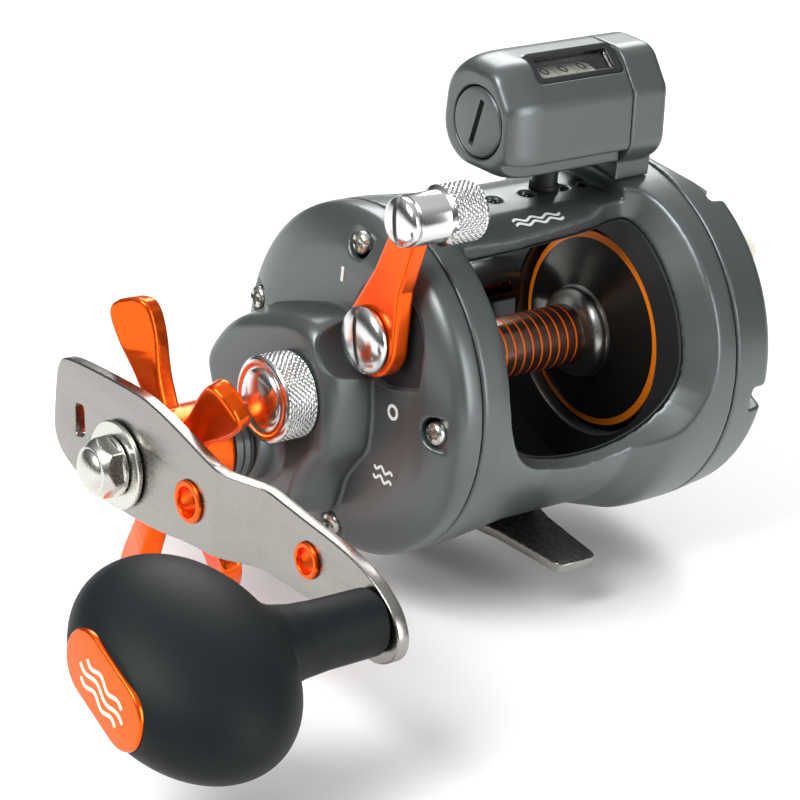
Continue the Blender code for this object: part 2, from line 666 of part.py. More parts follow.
def make_star():
    """The five-armed drag star with its long hub."""
    hub = [
        (-68.3, 9.4), (-68.9, 10.1), (-84.6, 10.1), (-85.6, 9.0), (-85.6, 7.0), (-88.4, 7.0),
        (-88.4, CRANK_BORE), (-68.3, CRANK_BORE),
    ]
    star = turned("star_drag", hub, CRANK, "orange", 24, ring=True)
    half = [(6.5, 3.6), (12.0, 2.8), (18.0, 3.2), (26.0, 4.6), (32.0, 4.7), (34.8, 2.8)]
    outline = [(-w, r) for r, w in half] + [(w, r) for r, w in reversed(half)]
    arms = []
    for i in range(5):
        arm = plate(f"star_arm_{i + 1}", [outline], -2.0, 2.0)
        for vertex in arm.data.vertices:
            reach = vertex.co.y / MM
            twist = math.radians(-35.0) * min(1.0, max(0.0, (reach - 10.0) / 14.0))
            lean = -2.5 * max(0.0, reach - 12.0) / 20.0
            across, depth = vertex.co.x, vertex.co.z
            vertex.co.x = across * math.cos(twist) - depth * math.sin(twist)
            vertex.co.z = across * math.sin(twist) + depth * math.cos(twist) + lean * MM
        arm.data.transform(Matrix.Rotation(math.radians(-26.0 - 72.0 * i), 4, "Z"))
        arm.location = place((-79.0, *CRANK))
        arms.append(arm)
    join(star, *arms)
    return star


def make_collars():
    """The seal ring and the spacer between the boss and the star."""
    washer("seal_ring", -64.2, -62.8, CRANK_BORE, 9.2, CRANK, "rubber", 24)
    washer("spacer_collar", -68.0, -64.5, CRANK_BORE, 9.6, CRANK, "gunmetal", 24)


def make_arm():
    """The stainless handle arm, wide at the nut and stepped in towards the reel before the knob."""
    outline = [
        (-26.6, 9.5), (-25.8, 13.6), (-23.0, 16.2), (-12.0, 17.4), (4.7, 18.2), (12.0, 17.6), (19.4, 16.2),
        (34.0, 12.8), (45.0, 11.6), (58.0, 10.4), (71.7, 9.2), (81.0, 7.2), (88.0, 4.6), (92.0, 1.0),
        (93.3, -3.0), (91.8, -7.2), (88.0, -9.8), (83.5, -10.6), (76.0, -9.0), (63.0, -6.4), (50.0, -6.4),
        (38.0, -6.8), (26.0, -7.8), (14.4, -9.6), (1.0, -10.5), (-6.0, -10.2), (-15.0, -9.0), (-21.9, -6.6),
        (-25.4, -3.4), (-26.6, 0.5),
    ]
    edge = [arm_point(a, b) for a, b in outline]
    holes = [
        circle(CRANK, 3.5),
        circle(arm_point(*INNER_HOLE), 4.2),
        circle(arm_point(*OUTER_HOLE), 3.6),
        circle(arm_point(*KNOB_SPOT), 3.3),
        [arm_point(a, b) for a, b in ((-17.6, 0.2), (-14.2, 1.0), (-15.2, 7.6), (-18.4, 7.2))],
    ]
    arm = plate("handle_arm", [edge] + holes, ARM_FRONT, ARM_FRONT + ARM_THICKNESS, "steel")
    bend_start, bend_end, strips = 34.0, 48.0, 4
    bend(arm, bend_start, bend_end, strips)
    return arm


def bend(arm, start, end, strips):
    """Steps the knob end of the arm in towards the reel with a smooth double bend."""
    work = bmesh.new()
    work.from_mesh(arm.data)
    normal = (-math.cos(ARM_TILT), math.sin(ARM_TILT), 0.0)
    for i in range(strips + 1):
        y, z = arm_point(start + (end - start) * i / strips, 0.0)
        faces = work.verts[:] + work.edges[:] + work.faces[:]
        bmesh.ops.bisect_plane(work, geom=faces, plane_co=(y * MM, z * MM, 0.0), plane_no=normal)
    for vertex in work.verts:
        back, up = CRANK[0] - vertex.co.x / MM, vertex.co.y / MM - CRANK[1]
        away = back * math.cos(ARM_TILT) + up * math.sin(ARM_TILT)
        share = min(1.0, max(0.0, (away - start) / (end - start)))
        vertex.co.z += ARM_STEP * MM * share * share * (3.0 - 2.0 * share)
    work.to_mesh(arm.data)
    work.free()


def make_arm_fittings():
    """The orange liners of the arm's two holes, the washer, the nut and the knob's post."""
    spots = (("inner", INNER_HOLE, 0.0, 3.2, 0.9), ("outer", OUTER_HOLE, ARM_STEP, 2.6, 0.7))
    for name, spot, step, bore, rim in spots:
        front = ARM_FRONT + step
        outline = [
            (front + ARM_THICKNESS + 0.3, bore + 0.7), (front - 0.3, bore + 0.7),
            (front - 0.3, bore + 0.7 + rim),
            (front - 0.9, bore + 0.7 + rim), (front - 0.9, bore), (front + ARM_THICKNESS + 0.3, bore),
        ]
        turned(f"arm_liner_{name}", outline, arm_point(*spot), "orange", 18, ring=True)
    washer("handle_washer", ARM_FRONT - 1.5, ARM_FRONT - GAP, 3.6, 9.8, CRANK, "silver", 24)
    corners = [(CRANK[0] + 6.2 * math.cos(t), CRANK[1] + 6.2 * math.sin(t)) for t in hexagon()]
    nut = plate("handle_nut", [corners], -98.4, ARM_FRONT - 1.8, "silver")
    dome = [(-97.0, 0.0), (-97.0, 5.3), (-98.6, 5.3), (-100.4, 4.2), (-101.4, 2.2), (-101.6, 0.0)]
    join(nut, turned("nut_dome", dome, CRANK, sides=20))
    cut(nut, rod("nut_bore", -99.4, -90.0, 3.5, CRANK, sides=20))
    set_origin(nut, (0.0, *CRANK))
    knob = arm_point(*KNOB_SPOT)
    inner_face = ARM_FRONT + ARM_STEP + ARM_THICKNESS
    post = [
        (inner_face + 1.8, 0.0), (inner_face + 1.8, 3.6), (inner_face + 1.2, 4.6), (inner_face + GAP, 4.6),
        (inner_face + GAP, 3.0), (-124.0, 3.0), (-124.0, 0.0),
    ]
    turned("knob_post", post, knob, "steel", 20)


def hexagon():
    """The angles of a nut's corners."""
    return [math.radians(12.0 + 60.0 * i) for i in range(6)]


def make_knob():
    """The egg-shaped power knob on its neck, and the badge let into its flat end."""
    y, z = arm_point(*KNOB_SPOT)
    mesh = bpy.data.meshes.new("handle_knob")
    work = bmesh.new()
    bmesh.ops.create_uvsphere(work, u_segments=24, v_segments=16, radius=1.0)
    for vertex in work.verts:
        x = vertex.co.z * KNOB_DEPTH
        long, short = vertex.co.x * KNOB_LENGTH, vertex.co.y * KNOB_BREADTH
        across = -long * math.cos(KNOB_TILT) + short * math.sin(KNOB_TILT)
        up = -long * math.sin(KNOB_TILT) - short * math.cos(KNOB_TILT)
        vertex.co = (x * MM, across * MM, up * MM)
    bmesh.ops.recalc_face_normals(work, faces=work.faces)
    work.to_mesh(mesh)
    work.free()
    work_shift = Matrix.Translation((KNOB_MIDDLE * MM, 0.0, KNOB_RISE * MM))
    mesh.transform(work_shift)
    knob = put("handle_knob", mesh, "rubber", origin=(0.0, y, z))
    inner_end = ARM_FRONT + ARM_STEP - 0.4
    neck = [(inner_end, 0.0), (inner_end, 7.0), (-100.0, 7.1), (-110.0, 8.0), (-118.0, 11.0), (-121.0, 0.0)]
    join(knob, turned("knob_neck", neck, (y, z), sides=20))
    reach = 6.6
    lean = (reach * math.cos(KNOB_TILT), reach * math.sin(KNOB_TILT))
    middle = z + KNOB_RISE
    ends = [(y - lean[0], middle - lean[1]), (y + lean[0], middle + lean[1])]
    recess = plate("badge_recess", [hull_of_discs([(*end, 5.9) for end in ends])], -170.0, KNOB_END + 1.0)
    flat = block("knob_flat", (-170, KNOB_END), (y - 40, y + 40), (z - 40, z + 40))
    cut(knob, rod("knob_bore", -126.0, -80.0, 3.4, (y, z)), flat, recess)
    outline = hull_of_discs([(*end, 5.6) for end in ends])
    badge = plate("knob_badge", [outline], KNOB_END - 0.6, KNOB_END + 0.7, "orange")
    set_origin(badge, (0.0, y, z))


def make_tension_knob():
    """The cast-control cap on the spool axis."""
    outline = [
        (-62.8, 0.0), (-62.8, 6.3), (-56.9, 6.3), (-56.9, 9.4), (-57.3, 9.7), (-64.1, 9.7), (-64.7, 9.1),
        (-64.9, 7.7), (-65.9, 5.8), (-66.6, 3.0), (-66.8, 0.0),
    ]
    turned("tension_knob", outline, (0.0, 0.0), "silver", 28)


# ---------------------------------------------------------------- clutch

def make_clutch():
    """The clutch lever with its thumb barrel outside the plate and its cam inside."""
    waist = (-18.6, 32.0, 4.6)
    lower = hull_of_discs([(*LEVER_PIVOT, 8.4), waist], 32)
    lever = plate("clutch_lever", [lower], LEVER_FRONT, LEVER_BACK, "orange")
    upper = hull_of_discs([waist, (*BARREL, 4.8)], 24)
    join(lever, plate("lever_upper", [upper], LEVER_FRONT, LEVER_BACK))
    bores = (
        rod("lever_bore", -60.0, -40.0, 3.1, LEVER_PIVOT),
        rod("barrel_bore", -60.0, -40.0, 1.9, BARREL),
    )
    cut(lever, *bores)
    set_origin(lever, (0.0, *LEVER_PIVOT))
    pivot = [
        (LEVER_FRONT - GAP, 0.0), (LEVER_FRONT - GAP, 7.4), (-51.2, 7.4), (-52.6, 5.6), (-53.4, 3.0),
        (-53.6, 0.0),
    ]
    turned("lever_pivot_screw", pivot, LEVER_PIVOT, "silver", 20)
    barrel = [
        (-33.0, 6.0), (-33.6, 6.6), (-41.6, 6.6), (-42.2, 5.4), (LEVER_BACK + GAP, 5.4),
        (LEVER_BACK + GAP, 1.9),
        (-33.0, 1.9),
    ]
    turned("thumb_barrel", barrel, BARREL, "silver", 20, ring=True)
    screw = [
        (-33.4, 0.0), (-33.4, 1.6), (LEVER_FRONT - GAP, 1.6), (LEVER_FRONT - GAP, 4.9), (-51.6, 4.9),
        (-52.9, 3.4), (-53.4, 0.0),
    ]
    turned("barrel_screw", screw, BARREL, "silver", 16)
    outline = hull_of_discs([(*LEVER_PIVOT, 4.6), (-10.2, 11.6, 1.8)], 20)
    cam = plate("clutch_cam", [outline], -39.8, -38.6, "steel")
    join(cam, rod("cam_shaft", LEVER_FRONT + 0.2, -39.0, 2.8, LEVER_PIVOT, sides=20))
    set_origin(cam, (0.0, *LEVER_PIVOT))


# ---------------------------------------------------------------- levelwind

GUIDE_MIDDLE = -4.0


def make_levelwind():
    """The slotted shield over the worm, the line guide that slides on it, and its pawl."""
    shield = washer("levelwind_shield", -31.6, 26.1, SHIELD_RADIUS - 1.0, SHIELD_RADIUS, WORM, "dark", 20)
    y, z = WORM
    slot = [(y - 10.0, z - 1.6), (y - 3.0, z - 1.6), (y - 3.0, z + 1.6), (y - 10.0, z + 1.6)]
    cut(shield, plate("shield_slot", [slot], -29.0, 23.6))
    low, high = GUIDE_MIDDLE - 4.5, GUIDE_MIDDLE + 4.5
    guide = washer("line_guide", low, high, SHIELD_RADIUS + GAP, 7.0, WORM, "silver", 20)
    stem = [(y - 1.4, z + 6.0), (y + 1.6, z + 6.0), (y + 1.6, z + 9.4), (y - 1.4, z + 9.4)]
    join(guide, plate("guide_stem", [stem], GUIDE_MIDDLE - 2.2, GUIDE_MIDDLE + 2.2))
    eye = [(y + 2.2, 5.8), (y - 2.0, 5.8), (y - 2.0, 3.6), (y + 2.2, 3.6)]
    ring = turned("guide_eye", eye, (GUIDE_MIDDLE, z + 13.6), sides=20, ring=True, axis="Y")
    join(guide, ring)
    cut(guide, rod("pawl_bore", y - 12.0, y - 3.0, 1.9, (GUIDE_MIDDLE, z), sides=16, axis="Y"))
    pawl = [(y - 2.8, 0.0), (y - 2.8, 1.2), (y - 7.3, 1.2), (y - 7.3, 2.6), (y - 8.4, 2.6), (y - 8.4, 0.0)]
    turned("guide_pawl", pawl, (GUIDE_MIDDLE, z), "steel", 16, axis="Y")


# ---------------------------------------------------------------- line counter

COUNTER_SECTION = [
    (-6.6, 49.6, 6.2), (-7.2, 61.4, 4.2), (-2.0, 65.2, 5.8), (3.0, 60.2, 10.4), (3.0, 53.6, 10.6),
]
WINDOW_TILT = math.radians(38.0)
WINDOW_MIDDLE = (5.6, -6.1, 67.6)
WINDOW_SIZE = (21.0, 7.6)


def window_block(name, length, width, low, high, finish_name=None):
    """A box square to the tilted window, between two depths along its outward direction."""
    across, up = length / 2, width / 2
    outline = [(-across, -up), (across, -up), (across, up), (-across, up)]
    item = plate(name, [outline], low, high, finish_name, facing="Z")
    middle = (low + high) / 2
    x, y, z = WINDOW_MIDDLE
    item.rotation_euler = (WINDOW_TILT, 0.0, 0.0)
    item.location = place((x, y - middle * math.sin(WINDOW_TILT), z + middle * math.cos(WINDOW_TILT)))
    return item


def make_counter():
    """The counter house on the palm ring, its window, its three digit wheels and its reset dial."""
    section = hull_of_discs(COUNTER_SECTION, 20)
    house = plate("counter_housing", [section], COUNTER_LEFT, COUNTER_RIGHT, "gunmetal")
    round_nose(house)
    pedestal = block("counter_pedestal", (21.0, COUNTER_RIGHT - 0.4), (-8.5, 9.0), (36.0, 50.0))
    cut(pedestal, rod("ring_clearance", 10.0, 40.0, PALM_RADIUS + GAP, (0.0, 0.0), sides=72))
    post = rod("support_post", BAR_TOP + GAP, 47.0, 1.7, (9.5, 2.0), sides=12, axis="Z")
    join(house, settled(pedestal), post)
    length, width = WINDOW_SIZE
    tools = (
        window_block("window_opening", length, width, -8.0, 8.0),
        rod("wheel_room", -8.6, 24.0, WHEEL_RADIUS + 0.6, COUNTER_AXIS, sides=28),
        rod("dial_seat", -20.0, -12.2, 8.2, COUNTER_AXIS, sides=24),
        rod("dial_shaft_hole", -20.0, 28.0, 1.9, COUNTER_AXIS, sides=12),
    )
    cut(house, *tools)
    window_block("counter_window", length - 0.7, width - 0.7, -1.6, 0.0, "glass")
    dial = [(24.0, 0.0), (24.0, 1.3), (-12.6, 1.3), (-12.6, 7.8), (-14.4, 7.8), (-14.8, 7.4), (-14.8, 0.0)]
    turned("counter_reset_dial", dial, COUNTER_AXIS, "gunmetal", 24)
    for i in range(3):
        low = -0.3 + i * (WHEEL_WIDTH + 0.6)
        washer(f"digit_wheel_{i + 1}", low, low + WHEEL_WIDTH, 1.7, WHEEL_RADIUS, COUNTER_AXIS, "ivory", 20)


def round_nose(house):
    """Narrows the counter's free end in steps towards the dial."""
    steps = ((COUNTER_SHOULDER, 1.0), (-9.6, 0.96), (-12.0, 0.87), (COUNTER_LEFT, 0.7))
    length = COUNTER_RIGHT - COUNTER_LEFT
    middle = (COUNTER_LEFT + COUNTER_RIGHT) / 2
    work = bmesh.new()
    work.from_mesh(house.data)
    for x, _ in steps[:-1]:
        faces = work.verts[:] + work.edges[:] + work.faces[:]
        level = (0.0, 0.0, (x - middle) * MM)
        bmesh.ops.bisect_plane(work, geom=faces, plane_co=level, plane_no=(0.0, 0.0, 1.0))
    for vertex in work.verts:
        x = vertex.co.z / MM + middle
        for place_x, scale in steps:
            if abs(x - place_x) < 0.01 * length / 100:
                vertex.co.x = (COUNTER_AXIS[0] + (vertex.co.x / MM - COUNTER_AXIS[0]) * scale) * MM
                vertex.co.y = (COUNTER_AXIS[1] + (vertex.co.y / MM - COUNTER_AXIS[1]) * scale) * MM
    work.to_mesh(house.data)
    work.free()


def main():
    """Builds the whole reel."""
    clear_scene()
    make_frame()
    make_foot()
    make_handle_plate()
    make_palm_plate()
    make_clicker()
    make_spool()
    make_idler_and_worm()
    make_crank_train()
    make_dog()
    make_bridge()
    make_pinion()
    make_springs()
    make_star()
    make_collars()
    make_arm()
    make_arm_fittings()
    make_knob()
    make_tension_knob()
    make_clutch()
    make_levelwind()
    make_counter()


main()
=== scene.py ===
"""The looks of a levelwind trolling reel with a line counter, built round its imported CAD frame.

Shapes are worked out in millimetres: x along the spool axis from the middle of the frame, y and z from the
spool axis. emit() takes a finished mesh to metres in the frame and lets it ride on its body.
"""

import json
import math

import bmesh
import bpy
from mathutils import Matrix, Vector

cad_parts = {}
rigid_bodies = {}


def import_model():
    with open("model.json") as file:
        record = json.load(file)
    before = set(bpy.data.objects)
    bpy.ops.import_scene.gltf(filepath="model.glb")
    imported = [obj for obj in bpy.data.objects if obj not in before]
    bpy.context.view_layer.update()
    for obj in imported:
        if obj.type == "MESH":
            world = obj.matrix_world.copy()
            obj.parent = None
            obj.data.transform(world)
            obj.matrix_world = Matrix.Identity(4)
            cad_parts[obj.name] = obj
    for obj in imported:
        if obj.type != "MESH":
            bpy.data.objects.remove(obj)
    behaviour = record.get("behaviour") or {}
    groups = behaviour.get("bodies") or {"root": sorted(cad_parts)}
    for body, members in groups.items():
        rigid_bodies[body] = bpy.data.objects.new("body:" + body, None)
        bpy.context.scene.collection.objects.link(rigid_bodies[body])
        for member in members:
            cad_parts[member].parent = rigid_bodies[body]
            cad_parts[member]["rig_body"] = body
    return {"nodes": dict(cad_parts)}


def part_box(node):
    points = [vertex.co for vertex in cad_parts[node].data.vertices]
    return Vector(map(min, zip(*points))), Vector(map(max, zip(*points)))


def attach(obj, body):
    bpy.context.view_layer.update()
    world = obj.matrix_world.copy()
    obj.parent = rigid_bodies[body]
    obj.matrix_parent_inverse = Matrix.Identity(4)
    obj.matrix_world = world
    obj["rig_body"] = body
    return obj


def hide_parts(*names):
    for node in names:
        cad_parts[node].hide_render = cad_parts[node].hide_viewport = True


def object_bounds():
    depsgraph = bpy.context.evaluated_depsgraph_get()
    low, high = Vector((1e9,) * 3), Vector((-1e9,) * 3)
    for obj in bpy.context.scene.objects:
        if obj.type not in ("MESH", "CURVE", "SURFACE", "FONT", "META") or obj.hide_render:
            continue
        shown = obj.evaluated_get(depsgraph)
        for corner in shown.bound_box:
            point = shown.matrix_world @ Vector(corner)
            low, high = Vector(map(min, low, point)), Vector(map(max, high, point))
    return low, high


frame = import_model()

cad_low, cad_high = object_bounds()
MM = 0.001
AXIS_HEIGHT = sum(corner[2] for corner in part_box("spool_shaft")) / 2 / MM
TO_FRAME = Matrix.Translation((0.0, 0.0, AXIS_HEIGHT * MM)) @ Matrix.Scale(MM, 4)


def extent(node):
    """A node's lowest and highest corner in millimetres, z from the spool axis."""
    low, high = (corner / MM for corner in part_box(node))
    return (low.x, low.y, low.z - AXIS_HEIGHT), (high.x, high.y, high.z - AXIS_HEIGHT)


def middle_of(node):
    """The middle of a node's box in millimetres."""
    return tuple((low + high) / 2 for low, high in zip(*extent(node)))


def spot(node):
    """The middle (y, z) of a node that is turned round an axis along x."""
    return middle_of(node)[1:]


def body_of(node):
    """The body that a CAD node belongs to."""
    return frame["nodes"][node]["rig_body"]


SPOOL = (0.0, 0.0)
CRANK = spot("main_shaft")
WORM = spot("worm_shaft")
LEVER = spot("lever_pivot_screw")
BARREL = spot("thumb_barrel")
KNOB = spot("knob_post")
DIAL = spot("counter_reset_dial")


# ------------ mesh tools

def linked(mesh):
    """A scratch object round a mesh."""
    item = bpy.data.objects.new("work", mesh)
    bpy.context.scene.collection.objects.link(item)
    return item


def applied(item):
    """The object's mesh with its modifiers applied; the scratch object goes."""
    bpy.context.view_layer.update()
    graph = bpy.context.evaluated_depsgraph_get()
    mesh = bpy.data.meshes.new_from_object(item.evaluated_get(graph))
    mesh.transform(item.matrix_world)
    bpy.data.objects.remove(item, do_unlink=True)
    return mesh


def tidied(mesh, merge=0.0005):
    """Welds a mesh and turns its faces outwards."""
    work = opened(mesh)
    bmesh.ops.remove_doubles(work, verts=work.verts, dist=merge)
    return closed(work)


def opened(mesh):
    """A bmesh of a mesh."""
    work = bmesh.new()
    work.from_mesh(mesh)
    return work


def closed(work):
    """The mesh of a bmesh, with its faces turned outwards. The bmesh goes."""
    mesh = bpy.data.meshes.new("work")
    bmesh.ops.recalc_face_normals(work, faces=work.faces)
    work.to_mesh(mesh)
    work.free()
    return mesh


def sliced(work, places, normal):
    """Adds edges to a bmesh wherever a plane through one of the places crosses it."""
    for place_at in places:
        geometry = work.verts[:] + work.edges[:] + work.faces[:]
        bmesh.ops.bisect_plane(work, geom=geometry, plane_co=place_at, plane_no=normal)


def clamped(share):
    """A number held between 0 and 1."""
    return min(1.0, max(0.0, share))


def narrowed(points, middle, scale_at):
    """Scales mesh points round an axis along x by a factor that depends on x."""
    for point in points:
        scale = scale_at(point.co.x)
        point.co.y = middle[0] + (point.co.y - middle[0]) * scale
        point.co.z = middle[1] + (point.co.z - middle[1]) * scale


def skinned(rings):
    """A closed mesh over rings of points, with one face at either end."""
    count, last = len(rings[0]), (len(rings) - 1) * len(rings[0])
    faces = []
    for start in range(0, last, count):
        for i in range(count):
            j = (i + 1) % count
            faces.append((start + i, start + j, start + count + j, start + count + i))
    faces += [tuple(range(count)), tuple(range(last + count - 1, last - 1, -1))]
    mesh = bpy.data.meshes.new("skin")
    mesh.from_pydata([point for ring in rings for point in ring], [], faces)
    return mesh


def polar(radius, degrees):
    """A point (y, z) at an angle from straight up, positive towards the rod tip."""
    angle = math.radians(degrees)
    return (radius * math.sin(angle), radius * math.cos(angle))


def circle(centre, radius, sides=64):
    """Points round a circle."""
    turns = [2 * math.pi * i / sides for i in range(sides)]
    return [(centre[0] + radius * math.cos(t), centre[1] + radius * math.sin(t)) for t in turns]


def hull(discs, sides=64):
    """The outline that a belt round the discs (y, z, radius) would take."""
    points = sorted({p for y, z, radius in discs for p in circle((y, z), radius, sides)})
    lower, upper = [], []
    for chain, order in ((lower, points), (upper, points[::-1])):
        for p in order:
            while len(chain) > 1 and turning(chain[-2], chain[-1], p) <= 1e-6:
                chain.pop()
            chain.append(p)
    return lower[:-1] + upper[:-1]


def rectangle(left, right, low, high):
    """The four corners of a rectangle, from its left low one."""
    return [(left, low), (right, low), (right, high), (left, high)]


def domed(rim, rise, radius, steps, power=1.0, first=0):
    """Profile points of a dome, from its rim towards its top."""
    turns = [math.pi / 2 * k / steps for k in range(first, steps)]
    return [(rim + rise * math.sin(t), radius * math.cos(t) ** power) for t in turns]


def leaning(centre, half_width, half_length, degrees):
    """The four corners of a slot that leans from upright."""
    lean = math.radians(degrees)
    across = (half_width * math.cos(lean), half_width * math.sin(lean))
    along = (-half_length * math.sin(lean), half_length * math.cos(lean))
    return [(centre[0] + i * across[0] + j * along[0], centre[1] + i * across[1] + j * along[1])
            for i, j in ((-1, -1), (1, -1), (1, 1), (-1, 1))]


def turning(a, b, c):
    """Positive when a, b and c turn left."""
    return (b[0] - a[0]) * (c[1] - a[1]) - (b[1] - a[1]) * (c[0] - a[0])


def flowing(points, per=6, closed=True):
    """A smooth line through points of any number of coordinates."""
    count = len(points)
    result = []
    for i in range(count if closed else count - 1):
        places = [(i + k) % count if closed else min(count - 1, max(0, i + k)) for k in (-1, 0, 1, 2)]
        near = [points[place] for place in places]
        for step in range(per):
            t = step / per
            result.append(tuple(
                0.5 * (2 * b + (c - a) * t + (2 * a - 5 * b + 4 * c - d) * t * t
                       + (3 * b - a - 3 * c + d) * t ** 3)
                for a, b, c, d in zip(*near)
            ))
    if not closed:
        result.append(tuple(points[-1]))
    return result


def soften(points, radius, closed=False, pieces=4):
    """Rounds the corners of a profile."""
    result = []
    last = len(points) - 1
    for i, point in enumerate(points):
        if not closed and i in (0, last):
            result.append(tuple(point))
            continue
        corner = Vector(point)
        arms = [Vector(points[i - 1]) - corner, Vector(points[(i + 1) % len(points)]) - corner]
        reach = min([radius] + [0.45 * arm.length for arm in arms])
        start, end = (corner + arm.normalized() * reach for arm in arms)
        for k in range(pieces + 1):
            t = k / pieces
            result.append(tuple(start.lerp(corner, t).lerp(corner.lerp(end, t), t)))
    return result


def lathe(profile, centre, steps=96, axis="X", ring=False, relief=None, bands=None):
    """A turned mesh from (place along the axis, radius) points; bands gives each stretch's material."""
    verts, rows, faces, slots = [], [], [], []
    for along, radius in profile:
        count = 1 if radius < 1e-6 else steps
        rows.append([len(verts) + i for i in range(count)])
        for i in range(count):
            angle = 2 * math.pi * i / steps
            reach = radius + (relief(along, angle) if relief else 0.0)
            across, up = reach * math.cos(angle), reach * math.sin(angle)
            point = [centre[0] + across, centre[1] + up]
            point.insert("XYZ".index(axis), along)
            verts.append(point)
    pairs = list(zip(rows, rows[1:])) + ([(rows[-1], rows[0])] if ring else [])
    for number, (a, b) in enumerate(pairs):
        if len(a) + len(b) == 2:
            continue
        for i in range(steps):
            j = (i + 1) % steps
            corners = [a[i % len(a)], a[j % len(a)], b[j % len(b)], b[i % len(b)]]
            faces.append(tuple(dict.fromkeys(corners)))
            slots.append(bands[number] if bands else 0)
    mesh = bpy.data.meshes.new("lathe")
    mesh.from_pydata(verts, [], faces)
    mesh.polygons.foreach_set("material_index", slots)
    return tidied(mesh, 1e-5)


def rod(start, end, radius, centre, steps=48, axis="X"):
    """A plain cylinder, for joining and cutting."""
    return lathe([(start, 0.0), (start, radius), (end, radius), (end, 0.0)], centre, steps, axis)


def slab(outlines, low, high, edge=0.0, facing="X", resolution=2):
    """A flat shape between low and high with rounded edges. Outlines after the first are holes."""
    curve = bpy.data.curves.new("slab", "CURVE")
    curve.dimensions = "2D"
    curve.fill_mode = "BOTH"
    curve.extrude = (high - low) / 2 - edge
    curve.bevel_depth = edge
    curve.bevel_resolution = resolution
    curve.offset = -edge
    for outline in outlines:
        spline = curve.splines.new("POLY")
        spline.points.add(len(outline) - 1)
        spline.use_cyclic_u = True
        for knot, (across, up) in zip(spline.points, outline):
            knot.co = (across, up, 0.0, 1.0)
    item = linked(curve)
    turns = {"X": (math.pi / 2, 0.0, math.pi / 2), "Y": (math.pi / 2, 0.0, 0.0), "Z": (0.0, 0.0, 0.0)}
    item.rotation_euler = turns[facing]
    item.location["XYZ".index(facing)] = (low + high) / 2
    return tidied(applied(item))


def block(across, along, up):
    """A box between two distances on each axis, for joining and cutting."""
    return slab([rectangle(*across, *along)], *up, facing="Z")


def carved(base, tools, operation="DIFFERENCE"):
    """A mesh with the tools cut out of it, or joined to it."""
    item = linked(base)
    group = bpy.data.collections.new("tools")
    bpy.context.scene.collection.children.link(group)
    for tool in tools:
        group.objects.link(bpy.data.objects.new("tool", tool))
    step = item.modifiers.new("carve", "BOOLEAN")
    step.operation = operation
    step.solver = "EXACT"
    step.operand_type = "COLLECTION"
    step.collection = group
    mesh = applied(item)
    for helper in list(group.objects):
        bpy.data.objects.remove(helper, do_unlink=True)
    bpy.data.collections.remove(group)
    return mesh


def cast(mesh, voxel, passes):
    """A cast look: an even fine mesh whose edges and inner corners are softly rounded."""
    item = linked(mesh)
    even = item.modifiers.new("even", "REMESH")
    even.mode = "VOXEL"
    even.voxel_size = voxel
    even.use_smooth_shade = True
    ease = item.modifiers.new("ease", "SMOOTH")
    ease.factor = 0.5
    ease.iterations = passes
    return applied(item)


def emit(name, mesh, body, coats, stands_for=(), sharp=32.0):
    """Adds a finished mesh as a visible piece on a body."""
    mesh.transform(TO_FRAME)
    slots = [face.material_index for face in mesh.polygons]
    mesh.materials.clear()
    for finish in coats if isinstance(coats, list) else [coats]:
        mesh.materials.append(finish)
    if isinstance(coats, list):
        mesh.polygons.foreach_set("material_index", slots)
    mesh.shade_smooth()
    mesh.set_sharp_from_angle(angle=math.radians(sharp))
    item = bpy.data.objects.new(name, mesh)
    bpy.context.scene.collection.objects.link(item)
    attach(item, body)
    if stands_for:
        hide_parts(*stands_for)


# ------------ materials

def coat(name, colour, roughness, metallic=0.0, drift=0.06, rough_drift=0.06, grain=2500.0, bump=0.02,
         stretch=(1.0, 1.0, 1.0), depth=0.00002, coat_weight=0.0, specular=0.5, blotch=60.0):
    """A Principled material whose colour, roughness and surface vary the way a real finish does."""
    material = bpy.data.materials.new(name)
    material.use_nodes = True
    tree = material.node_tree
    nodes, links = tree.nodes, tree.links
    shader = nodes["Principled BSDF"]
    shader.inputs["Metallic"].default_value = metallic
    shader.inputs["Coat Weight"].default_value = coat_weight
    shader.inputs["Coat Roughness"].default_value = 0.12
    shader.inputs["Specular IOR Level"].default_value = specular
    place = nodes.new("ShaderNodeTexCoord")
    mapping = nodes.new("ShaderNodeMapping")
    mapping.inputs["Scale"].default_value = stretch
    links.new(place.outputs["Object"], mapping.inputs["Vector"])

    def noise(scale, detail):
        texture = nodes.new("ShaderNodeTexNoise")
        texture.inputs["Scale"].default_value = scale
        texture.inputs["Detail"].default_value = detail
        links.new(mapping.outputs["Vector"], texture.inputs["Vector"])
        return texture.outputs["Fac"]

    def between(factor, low, high):
        spread = nodes.new("ShaderNodeMapRange")
        spread.inputs["To Min"].default_value = low
        spread.inputs["To Max"].default_value = high
        links.new(factor, spread.inputs["Value"])
        return spread.outputs["Result"]

    fine = noise(grain, 3.0)
    tint = nodes.new("ShaderNodeVectorMath")
    tint.operation = "SCALE"
    tint.inputs[0].default_value = colour
    links.new(between(noise(blotch, 4.0), 1.0 - drift, 1.0 + drift), tint.inputs["Scale"])
    links.new(tint.outputs["Vector"], shader.inputs["Base Color"])
    rough = between(fine, max(0.02, roughness - rough_drift), roughness + rough_drift)
    links.new(rough, shader.inputs["Roughness"])
    relief = nodes.new("ShaderNodeBump")
    relief.inputs["Strength"].default_value = bump
    relief.inputs["Distance"].default_value = depth
    links.new(fine, relief.inputs["Height"])
    links.new(relief.outputs["Normal"], shader.inputs["Normal"])
    return material


